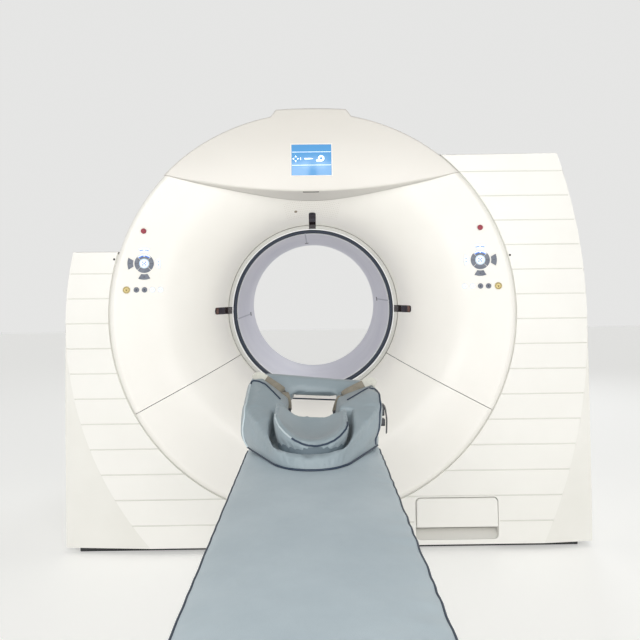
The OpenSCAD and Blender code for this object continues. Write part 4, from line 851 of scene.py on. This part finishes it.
LOUVRE_Z, LOUVRE_H = 0.20, 0.009     # the lowest slot's foot, and a slot's height
BACK_IN = 0.36                       # from a fairing's side to the middle of its back's slots
mats = bmesh.new()
for node, side_x, sweep, top, sign in (("left_fairing", 1.133, 1.550, AXIS + 0.285, -1),
                                       ("right_fairing", 1.262, 2.450, AXIS + 0.723, 1)):
    # Above its widest point the side of a fairing follows the curve of its face
    edge_x = sign * side_x
    wall = prism(side_curve(edge_x, sweep, 0, top) + side_curve(edge_x, sweep, -0.006, top)[::-1],
                 -0.80, 0.48, FRONT)
    corner = prism(side_curve(edge_x, sweep, 0, top + 0.02)
                   + [(edge_x + sign * 0.1, top + 0.02), (edge_x + sign * 0.1, SWEEP_Z)],
                   -0.90, 0.60, FRONT)
    # Nine slots in its side and nine in its back, with a dark filter mat behind each set
    back_x = edge_x - sign * BACK_IN
    openings = bmesh.new()
    for k in range(9):
        z = LOUVRE_Z + 0.024 * k
        box_mesh((edge_x - 0.03, 0.42, z), (edge_x + 0.03, 0.68, z + LOUVRE_H), openings)
        box_mesh((back_x - 0.12, 0.76, z), (back_x + 0.12, 0.83, z + LOUVRE_H), openings)
    mat_x = edge_x - sign * 0.0095
    box_mesh((mat_x - 0.0015, 0.405, 0.19), (mat_x + 0.0015, 0.695, 0.411), mats)
    box_mesh((back_x - 0.135, 0.789, 0.19), (back_x + 0.135, 0.792, 0.411), mats)

    def outer_edge(edge):
        """A long edge of the box itself, not of the drawer's bay or a groove."""
        spots = [v.co for v in edge.verts]
        return (edge.calc_length() > 0.12 and max(abs(p.x) for p in spots) > 0.70
                and not all(p.y < -0.12 and p.z < 0.26 and abs(p.x) < 0.86 for p in spots)
                and not all(p.y < -0.40 and abs(p.z - spots[0].z) < 0.001
                            and p.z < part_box(node)[1].z - 0.01 for p in spots))

    def curved_edge(edge):
        """An edge on the side's curve, which stays sharp."""
        return all(v.co.z > SWEEP_Z - 0.01 and abs(v.co.x - edge_x) < 0.13
                   and abs(math.hypot(v.co.x * sign - side_x + sweep, v.co.z - SWEEP_Z)
                           - sweep) < 0.0015 for v in edge.verts)

    cover = softened(node, 0.0012, 0.007, outer_edge, tool=openings, kept=curved_edge,
                     trim=((corner, "DIFFERENCE"), (wall, "UNION")))
    # The facets' faces take the greyer white: painted shade
    cover.data.materials.append(bpy.data.materials["facet_painted_shade"])
    for face in cover.data.polygons:
        if face.normal.y < -0.95 and face.normal.x * sign > 0.03 and face.center.z < SWEEP_Z:
            face.material_index = 1
# Painted shade: a grey strip in each groove's bottom, and a pale grey strip in the gap round the
# disc, where shade falls
finish("groove_painted_shade", (218, 218, 211), (210, 210, 203), 0.6)
GROOVE_Y = -0.477        # bottom of the grooves
groove_shade_boxes, gap_shade_strips = bmesh.new(), bmesh.new()
for node in ("left_fairing", "right_fairing"):
    points = [v.co for v in frame["nodes"][node].data.vertices
              if abs(v.co.y - GROOVE_Y) < 0.0004]
    for k in range(16):
        z = 0.124 + 0.114 * k
        xs = [p.x for p in points if abs(p.z - z) < 0.004]
        if len(xs) > 1:
            box_mesh((min(xs) + 0.001, GROOVE_Y - 0.0004, z - 0.0025),
                     (max(xs) - 0.001, GROOVE_Y + 0.0003, z + 0.0025), groove_shade_boxes)
for start, end in ((163, 250), (-69, 50)):
    prism(ring_part(RIM + 0.0004, RIM + 0.006, start, end, 80), 0.4700, 0.4745, round_bore(0),
          gap_shade_strips)
# Grey strips in the grooves and the disc's gap: painted shade
piece(groove_shade_boxes, "groove_painted_shades", "fairing_white", "gantry", finish_name="groove_painted_shade")
piece(gap_shade_strips, "disc_gap_painted_shade", "fairing_white", "gantry", finish_name="groove_painted_shade")
piece(mats, "filter_mats", "fairing_white", "gantry", finish_name="slot_dark")
plugs = bmesh.new()
for sign in (-1, 1):
    prism(disc(0.0050, 24), -0.002, 0.0006, Matrix.Translation((sign * 0.9125, -0.48, AXIS + 0.2496))
          @ FRONT, plugs)
piece(plugs, "fairing_plugs", "fairing_white", "gantry", finish_name="slot_dark")

# Drawer
# The pillow-fronted drawer low in the right fairing: a moulded front on a folded sheet bin.
softened("module_drawer", 0.001, 0.007, lambda e: all(v.co.y < -0.4765 for v in e.verts),
         segments=5)

# Table column
# The carriage on its rails, three telescoping skirts round the lifting column, the head with its
# beam and the pale pallet on top. Enamelled sheet and a moulded pallet.
finish("table_white", (226, 226, 221), (219, 219, 214), 0.4, coat=0.15, scale=600, depth=0.00002)
finish("pallet_shell", (222, 222, 218), (214, 214, 210), 0.36, coat=0.2, scale=700, depth=0.00001)
for node, fine in (("carriage", 0.002), ("lower_skirt", 0.001), ("lift_stage", 0.001),
                   ("upper_skirt", 0.001), ("lift_head", 0.002), ("pallet", 0.003)):
    softened(node, fine)

# Mattress
# A thin foam pad in blue-grey coated cloth, with dark piping along both top edges. It lies on
# the pallet and is a little loose at its sides.
vinyl, cells, raised = relief_group("vinyl_grain", "ShaderNodeTexVoronoi", "Distance")
folds = vinyl.nodes.new("ShaderNodeTexNoise")
folds.inputs["Scale"].default_value = 26
folds.inputs["Detail"].default_value = 4
both = vinyl.nodes.new("ShaderNodeMath")
both.operation = "MULTIPLY_ADD"
both.inputs[1].default_value = 9.0
wired(vinyl, (vinyl.nodes["Group Input"], "Vector", folds, "Vector"), (folds, "Fac", both, 0),
      (cells, "Distance", both, 2), (both, "Value", raised, "Height"))
# One cloth in two tones: the support's darker vinyl is painted shade, the mattress's lighter copy
# painted light
finish("pad_vinyl", (151, 164, 171), (141, 155, 162), 0.5, spread=0.1, clouds=7, sheen=0.12,
       scale=900, depth=0.00016, relief=vinyl)
finish("mattress_painted_light_vinyl", (186, 201, 209), (174, 190, 199), 0.5, spread=0.1, clouds=5, sheen=0.12,
       scale=900, depth=0.00016, relief=vinyl)
finish("piping_navy", (34, 50, 70), (42, 58, 78), 0.45, scale=900, depth=0.00003)
# A pale copy of the navy piping: painted highlight where the piping is lit
finish("piping_painted_highlight", (196, 208, 212), (186, 198, 204), 0.45, scale=900, depth=0.00003)
PAD_TOP = 0.714          # the mattress's upper face


def remeshed(mesh, name, voxel):
    """A copy as one even skin, ready for the cloth."""
    source = held(mesh, name)
    skin = source.modifiers.new("skin", "REMESH")
    skin.mode, skin.voxel_size = "VOXEL", voxel
    return baked(source)


def relaxed(mesh, passes, chosen):
    """Smooths the chosen points, that many times."""
    for _ in range(passes):
        bmesh.ops.smooth_vert(mesh, verts=[v for v in mesh.verts if chosen(v.co)], factor=0.5,
                              use_axis_x=True, use_axis_y=True, use_axis_z=True)


def plumped(mesh, node, cap, pressure, still, look="pad_vinyl"):
    """Blows the skin up as cloth but for its still points, keeps each point within the cap and
    finishes the pad."""
    pad = piece(mesh, node + "_pad", "pad_vinyl", "table_top", node, finish_name=look, sharp=None)
    rest = [v.co.copy() for v in pad.data.vertices]
    group = pad.vertex_groups.new(name="still")
    group.add([v.index for v in pad.data.vertices if still(v.co)], 1.0, "REPLACE")
    cloth = pad.modifiers.new("cloth", "CLOTH")
    cloth.settings.use_pressure = True
    cloth.settings.uniform_pressure_force = pressure
    cloth.settings.effector_weights.gravity = 0
    cloth.settings.quality = 4
    cloth.settings.vertex_group_mass = "still"
    for number in range(1, 21):
        bpy.context.scene.frame_set(number)
    blown = pad.evaluated_get(bpy.context.evaluated_depsgraph_get())
    moved = [v.co.copy() for v in blown.data.vertices]
    pad.modifiers.remove(cloth)
    bpy.context.scene.frame_set(1)
    for point, old, new in zip(pad.data.vertices, rest, moved):
        step = new - old
        if step.length > cap:
            step *= cap / step.length
        point.co = old + step
    pad.vertex_groups.remove(group)
    smooth = pad.modifiers.new("smooth", "SUBSURF")
    smooth.levels = smooth.render_levels = 1
    return pad


def tube(points, radius, name, finish_name):
    """A thin round piping along points, as a mesh."""
    line = bpy.data.curves.new(name, "CURVE")
    line.dimensions = "3D"
    line.bevel_depth, line.bevel_resolution = radius, 3
    line.use_fill_caps = True
    spline = line.splines.new("POLY")
    spline.points.add(len(points) - 1)
    for target, point in zip(spline.points, points):
        target.co = (*point, 1)
    passing = bpy.data.objects.new(name + "_line", line)
    bpy.context.scene.collection.objects.link(passing)
    graph = bpy.context.evaluated_depsgraph_get()
    drawn = bpy.data.meshes.new_from_object(passing.evaluated_get(graph), depsgraph=graph)
    mesh = bmesh.new()
    mesh.from_mesh(drawn)
    bpy.data.meshes.remove(drawn)
    bpy.data.objects.remove(passing)
    bpy.data.curves.remove(line)
    bmesh.ops.recalc_face_normals(mesh, faces=mesh.faces)
    return piece(mesh, name, "pad_vinyl", "table_top", finish_name=finish_name)


def surface_of(pad):
    return BVHTree.FromObject(pad, bpy.context.evaluated_depsgraph_get())


def laid(surface, points, lift):
    """Points moved to the nearest place on a pad, and out of it by lift."""
    result = []
    for point in points:
        place, normal, _, _ = surface.find_nearest(Vector(point))
        result.append(place + normal * lift)
    return result


def piping(skin, points, lift, radius, name, look):
    """Piping that lies on a pad."""
    tube(laid(skin, points, lift), radius, name, look)


def curve_through(points, count):
    """Evenly spaced points on a smooth line through the given ones."""
    points = [Vector(p) for p in points]
    ends = [2 * points[0] - points[1]] + points + [2 * points[-1] - points[-2]]
    result = []
    for k in range(len(points) - 1):
        a, b, c, d = ends[k:k + 4]
        for step in range(count):
            t = step / count
            result.append(0.5 * (2 * b + (c - a) * t + (2 * a - 5 * b + 4 * c - d) * t * t
                                 + (3 * b - a - 3 * c + d) * t ** 3))
    return result + [points[-1]]


# A little smaller than its solid, because the cloth swells
foam = node_copy("mattress")
for v in foam.verts:
    v.co.x *= 0.985
    if v.co.z > 0.69:
        v.co.z -= 0.003
foam = remeshed(foam, "foam", 0.010)
relaxed(foam, 1, lambda p: p.z > 0.675)
mattress = plumped(foam, "mattress", 0.006, 3.0, lambda p: p.z < 0.668, "mattress_painted_light_vinyl")
# Low ripples where the cover is loose, most along the right side
for v in mattress.data.vertices:
    side = max(0.0, (abs(v.co.x) - 0.12) / 0.09)
    ripple = math.sin(v.co.y * 61 + 2.2 * math.sin(v.co.y * 17)) * math.sin(v.co.x * 23 + 1.3)
    if v.co.z > 0.672:
        v.co.z += 0.0011 * side * ripple * (1.5 if v.co.x > 0 else 0.7)
        v.co.x += 0.0010 * side * math.sin(v.co.y * 74 + 1.7 * math.sin(v.co.y * 23)) * (
            1.4 if v.co.x > 0 else 0.6)
pad_skin = surface_of(mattress)
for sign, word in ((-1, "left"), (1, "right")):
    route = [(sign * 0.2065, -3.43 + 0.0195 * k, 0.7035) for k in range(99)]
    piping(pad_skin, route, 0.0006, 0.0024, "mattress_piping_" + word, "piping_navy")

# Head and arm support
# A sculpted foam wedge in the same cloth: a low front lip, a ramp up to two wings that lean to
# one side, an arch behind them, and piping along its sewn edges.
SUPPORT_FRONT, ARCH_Y = -1.826, -1.358
LEAN = math.radians(5)
support = node_copy("arm_support")
# The arch's top slopes towards the front between the wings' tips
slope_place = (Matrix.Translation((0, ARCH_Y, PAD_TOP + 0.136)) @ Matrix.Rotation(LEAN, 4, "Y")
               @ Matrix(((0, 0, 1, 0), (1, 0, 0, 0), (0, 1, 0, 0), (0, 0, 0, 1))))
support = cut(support, prism([(-0.004, 0), (0.0, 0), (0.050, 0.044), (0.050, 0.2), (-0.004, 0.2)],
                             -0.158, 0.158, slope_place))
# The way through under the arch reaches higher on the left
corners = [(0.055, 0.1085, 0), (-0.055, 0.1085, 90), (-0.055, 0.070, 180), (0.055, 0.070, 270)]
way = [(x + 0.023 * across, z + 0.0155 * up) for x, z, start in corners
       for across, up in arc_points(1, start, start + 90, 6)]
support = cut(support, prism(way, 1.2, 1.42, Matrix.Translation((0, 0, PAD_TOP))
                             @ Matrix.Rotation(LEAN * 0.7, 4, "Y") @ FRONT))
support = remeshed(support, "support", 0.006)


def leaned(x, h):
    """Sideways place on the support, which narrows at its base and leans above it."""
    near = min(1.0, max(0.0, h / 0.05))
    return x * (0.915 + 0.068 * near) + 0.11 * (h - 0.125) * min(1.0, max(0.0, h / 0.03))


for v in support.verts:
    v.co.x = leaned(v.co.x, v.co.z - PAD_TOP)
for back, passes in ((0.0, 3), (-1.640, 14)):
    relaxed(support, passes, lambda p: p.y < back and p.z > PAD_TOP + 0.010)
support_skin = surface_of(plumped(support, "arm_support", 0.006, 4.0,
                                  lambda p: p.z < PAD_TOP + 0.006))


def on_ramp(x, run, drop=0.0):
    """A place on the sloping face, run behind the support's front."""
    h = 0.042 + (run - 0.012) * 0.312 if run < 0.262 else 0.120 + (run - 0.262) * 0.378
    return Vector((leaned(x, h - drop), SUPPORT_FRONT + run, PAD_TOP + h - drop))


# Where the straight sides leave the round nose, in degrees past its widest points
nose = math.degrees(math.atan2(0.145, 0.212) - math.acos(0.125 / math.hypot(0.145, 0.212)))
front_lip = [Vector((leaned(x, 0.005), SUPPORT_FRONT + run, PAD_TOP + 0.006)) for x, run in
             [(-0.208, 0.262), (-0.180, 0.209)]
             + arc_points(0.125, 180 - nose, 360 + nose, 10, y=0.125)
             + [(0.180, 0.209), (0.208, 0.262)]]
piping(support_skin, curve_through(front_lip, 6), 0.0012, 0.0028, "support_piping_front",
       "piping_navy")
# The left piping is drawn pale: painted highlight
for sign, word, colour in ((-1, "left", "piping_painted_highlight"), (1, "right", "piping_navy")):
    foot = Vector((leaned(sign * 0.200, 0.010), SUPPORT_FRONT + 0.246, PAD_TOP + 0.012))
    edge = [foot] + [on_ramp(sign * x, run, drop) for x, run, drop in (
        (0.207, 0.250, 0.060), (0.210, 0.262, 0.016), (0.210, 0.300, 0), (0.210, 0.350, 0),
        (0.209, 0.398, 0))]
    piping(support_skin, curve_through(edge, 8), 0.0010, 0.0028, "support_piping_" + word, colour)
    ridge = [on_ramp(sign * x, run) for x, run in ((0.209, 0.398), (0.200, 0.418), (0.170, 0.396),
                                                   (0.138, 0.352), (0.104, 0.302))]
    piping(support_skin, curve_through(ridge, 8), 0.0010, 0.0026, "support_ridge_" + word,
           "piping_navy")

# Head cradle
# A low scoop of foam for the head, round at the front, with piping along its front edge.
cradle = node_copy("head_cradle")
# Narrower at its foot, wider and a little higher at its brim
for v in cradle.verts:
    above = v.co.z - PAD_TOP - 0.03
    grow = 0.93 + 0.10 * min(1.0, max(0.0, above / 0.03))
    v.co.x = v.co.x * grow - 0.004
    v.co.z += 0.009 * min(1.0, max(0.0, above / 0.02))
    v.co.y = -1.66 + (v.co.y + 1.66) * grow
cradle = remeshed(cradle, "cradle", 0.005)
relaxed(cradle, 3, lambda p: p.z > PAD_TOP + 0.036)
for v in cradle.verts:
    bowl = 1 - ((v.co.x + 0.010) ** 2 + (v.co.y + 1.668) ** 2) / 0.092 ** 2
    if v.co.z > PAD_TOP + 0.036 and bowl > 0:
        v.co.z -= min(0.020 * bowl, v.co.z - PAD_TOP - 0.036)
cradle_skin = surface_of(plumped(cradle, "head_cradle", 0.004, 4.0,
                                 lambda p: p.z < PAD_TOP + 0.034))
brim = [(x, y, PAD_TOP + 0.060 + (y + 1.790) * 0.226 + x * x / 0.34 - x * LEAN)
        for x, y in arc_points(0.1015, -180, 0, 40, -0.004, -1.690)]
# A darker band round the cradle's lower wall: painted shade under its brim
finish("pad_painted_shade", (104, 118, 127), (96, 110, 119), 0.6, scale=900, depth=0.0001)
skirt = [(x, y, PAD_TOP + 0.043) for x, y in arc_points(0.095, -176, -4, 40, -0.004, -1.690)]


def band(route, wide, thick, name, finish_name, across_dirs, *nodes, slot="strap_web"):
    """A flat strap along a route of points. Its width turns from one direction to another."""
    mesh = bmesh.new()
    rings = []
    for k, point in enumerate(route):
        ahead_dir = (route[min(k + 1, len(route) - 1)] - route[max(k - 1, 0)]).normalized()
        wanted = across_dirs[0].lerp(across_dirs[1], k / (len(route) - 1))
        side_dir = (wanted - ahead_dir * wanted.dot(ahead_dir)).normalized()
        out_dir = ahead_dir.cross(side_dir).normalized()
        rings.append([mesh.verts.new(point + side_dir * s * wide / 2 + out_dir * t * thick / 2)
                      for s, t in ((-1, -1), (1, -1), (1, 1), (-1, 1))])
    for one, two in zip(rings, rings[1:]):
        for k in range(4):
            mesh.faces.new((one[k], one[(k + 1) % 4], two[(k + 1) % 4], two[k]))
    mesh.faces.new(rings[0][::-1])
    mesh.faces.new(rings[-1])
    bmesh.ops.recalc_face_normals(mesh, faces=mesh.faces)
    return piece(mesh, name, slot, "table_top", *nodes, finish_name=finish_name)


# The band is painted shade under the cradle's brim
band(laid(cradle_skin, skirt, 0.0008), 0.022, 0.001, "cradle_painted_shade", "pad_painted_shade",
     [Vector((0, 0, 1))] * 2, slot="pad_vinyl")
# The brim's left piping is drawn pale: painted highlight
piping(cradle_skin, brim[:14], 0.0008, 0.0024, "cradle_piping_highlight", "piping_painted_highlight")
piping(cradle_skin, brim[13:], 0.0008, 0.0026, "cradle_piping", "piping_navy")

# Straps
# Two flat straps over the wings: a white hook-and-loop part, a brown-grey webbing part and a
# dark buckle in the opening, and a clip with a short loose end at the right side.
weave, warp, _ = relief_group("strap_weave", "ShaderNodeTexWave", "Fac")
warp.inputs["Distortion"].default_value = 0.6
finish("strap_web", (146, 140, 126), (128, 122, 110), 0.8, clouds=60, scale=260, depth=0.0003,
       sheen=0.3, relief=weave)
finish("strap_patch", (222, 222, 212), (208, 208, 198), 0.85, clouds=80, scale=420, depth=0.0003,
       sheen=0.3, relief=weave)
finish("buckle_dark", (22, 26, 36), (32, 36, 46), 0.35, coat=0.3)
STRAP_Y = -1.382         # the side clip's place


def on_wing(x, h, forward, sign):
    """A place at a wing: sideways, up from the pad and in front of the arch."""
    return Vector((leaned(sign * x, h), ARCH_Y - forward, PAD_TOP + h - sign * 0.006 * x / 0.1))


for sign, word in ((-1, "left"), (1, "right")):
    slope = curve_through([on_wing(*place, sign) for place in (
        (0.202, 0.168, 0.016), (0.186, 0.179, 0.018), (0.160, 0.170, 0.024), (0.130, 0.155, 0.032),
        (0.106, 0.142, 0.042), (0.090, 0.128, 0.056), (0.080, 0.106, 0.070),
        (0.076, 0.084, 0.076))], 6)
    patch_dirs = [Vector((0, 0.62, 0.78)), Vector((0, 0.52, 0.85))]
    web_dirs = [Vector((0, 0.52, 0.85)), Vector((sign * 0.9, 0.35, 0.25))]
    band(slope[:14], 0.027, 0.0026, word + "_strap_patch", "strap_patch", patch_dirs,
         *(["straps"] if sign < 0 else []))
    band([p + Vector((0, -0.0022, 0.0012)) for p in slope[12:]], 0.024, 0.0024,
         word + "_strap_webbing", "strap_web", web_dirs)
    end = slope[-1]
    clasp = box_mesh((end.x - 0.009, end.y - 0.008, end.z - 0.030),
                     (end.x + 0.009, end.y + 0.004, end.z + 0.008))
    piece(eased(clasp, 0.003, 3), word + "_buckle", "strap_web", "table_top",
          finish_name="buckle_dark")
tube([Vector((x, -1.270, PAD_TOP + 0.096 - 0.004 * x / 0.08)) for x in (-0.086, 0, 0.086)],
     0.0024, "back_cord", "piping_navy")
for number, (z0, z1, out) in enumerate(((0.030, 0.052, 0.0102), (0.062, 0.098, 0.0085))):
    clip = box_mesh((0.2075, STRAP_Y - 0.026, PAD_TOP + z0),
                    (0.2185 + out, STRAP_Y + 0.002, PAD_TOP + z1))
    piece(eased(clip, 0.0028, 3), "side_clip_%d" % number, "strap_web", "table_top",
          finish_name="buckle_dark")
tail = curve_through([Vector((0.2165, STRAP_Y - 0.012, PAD_TOP + 0.100)),
                      Vector((0.2290, STRAP_Y - 0.014, PAD_TOP + 0.088)),
                      Vector((0.2345, STRAP_Y - 0.016, PAD_TOP + 0.050)),
                      Vector((0.2330, STRAP_Y - 0.018, PAD_TOP + 0.006))], 6)
band(tail, 0.012, 0.0030, "side_strap_end", "buckle_dark", [Vector((0.3, 1, 0))] * 2)
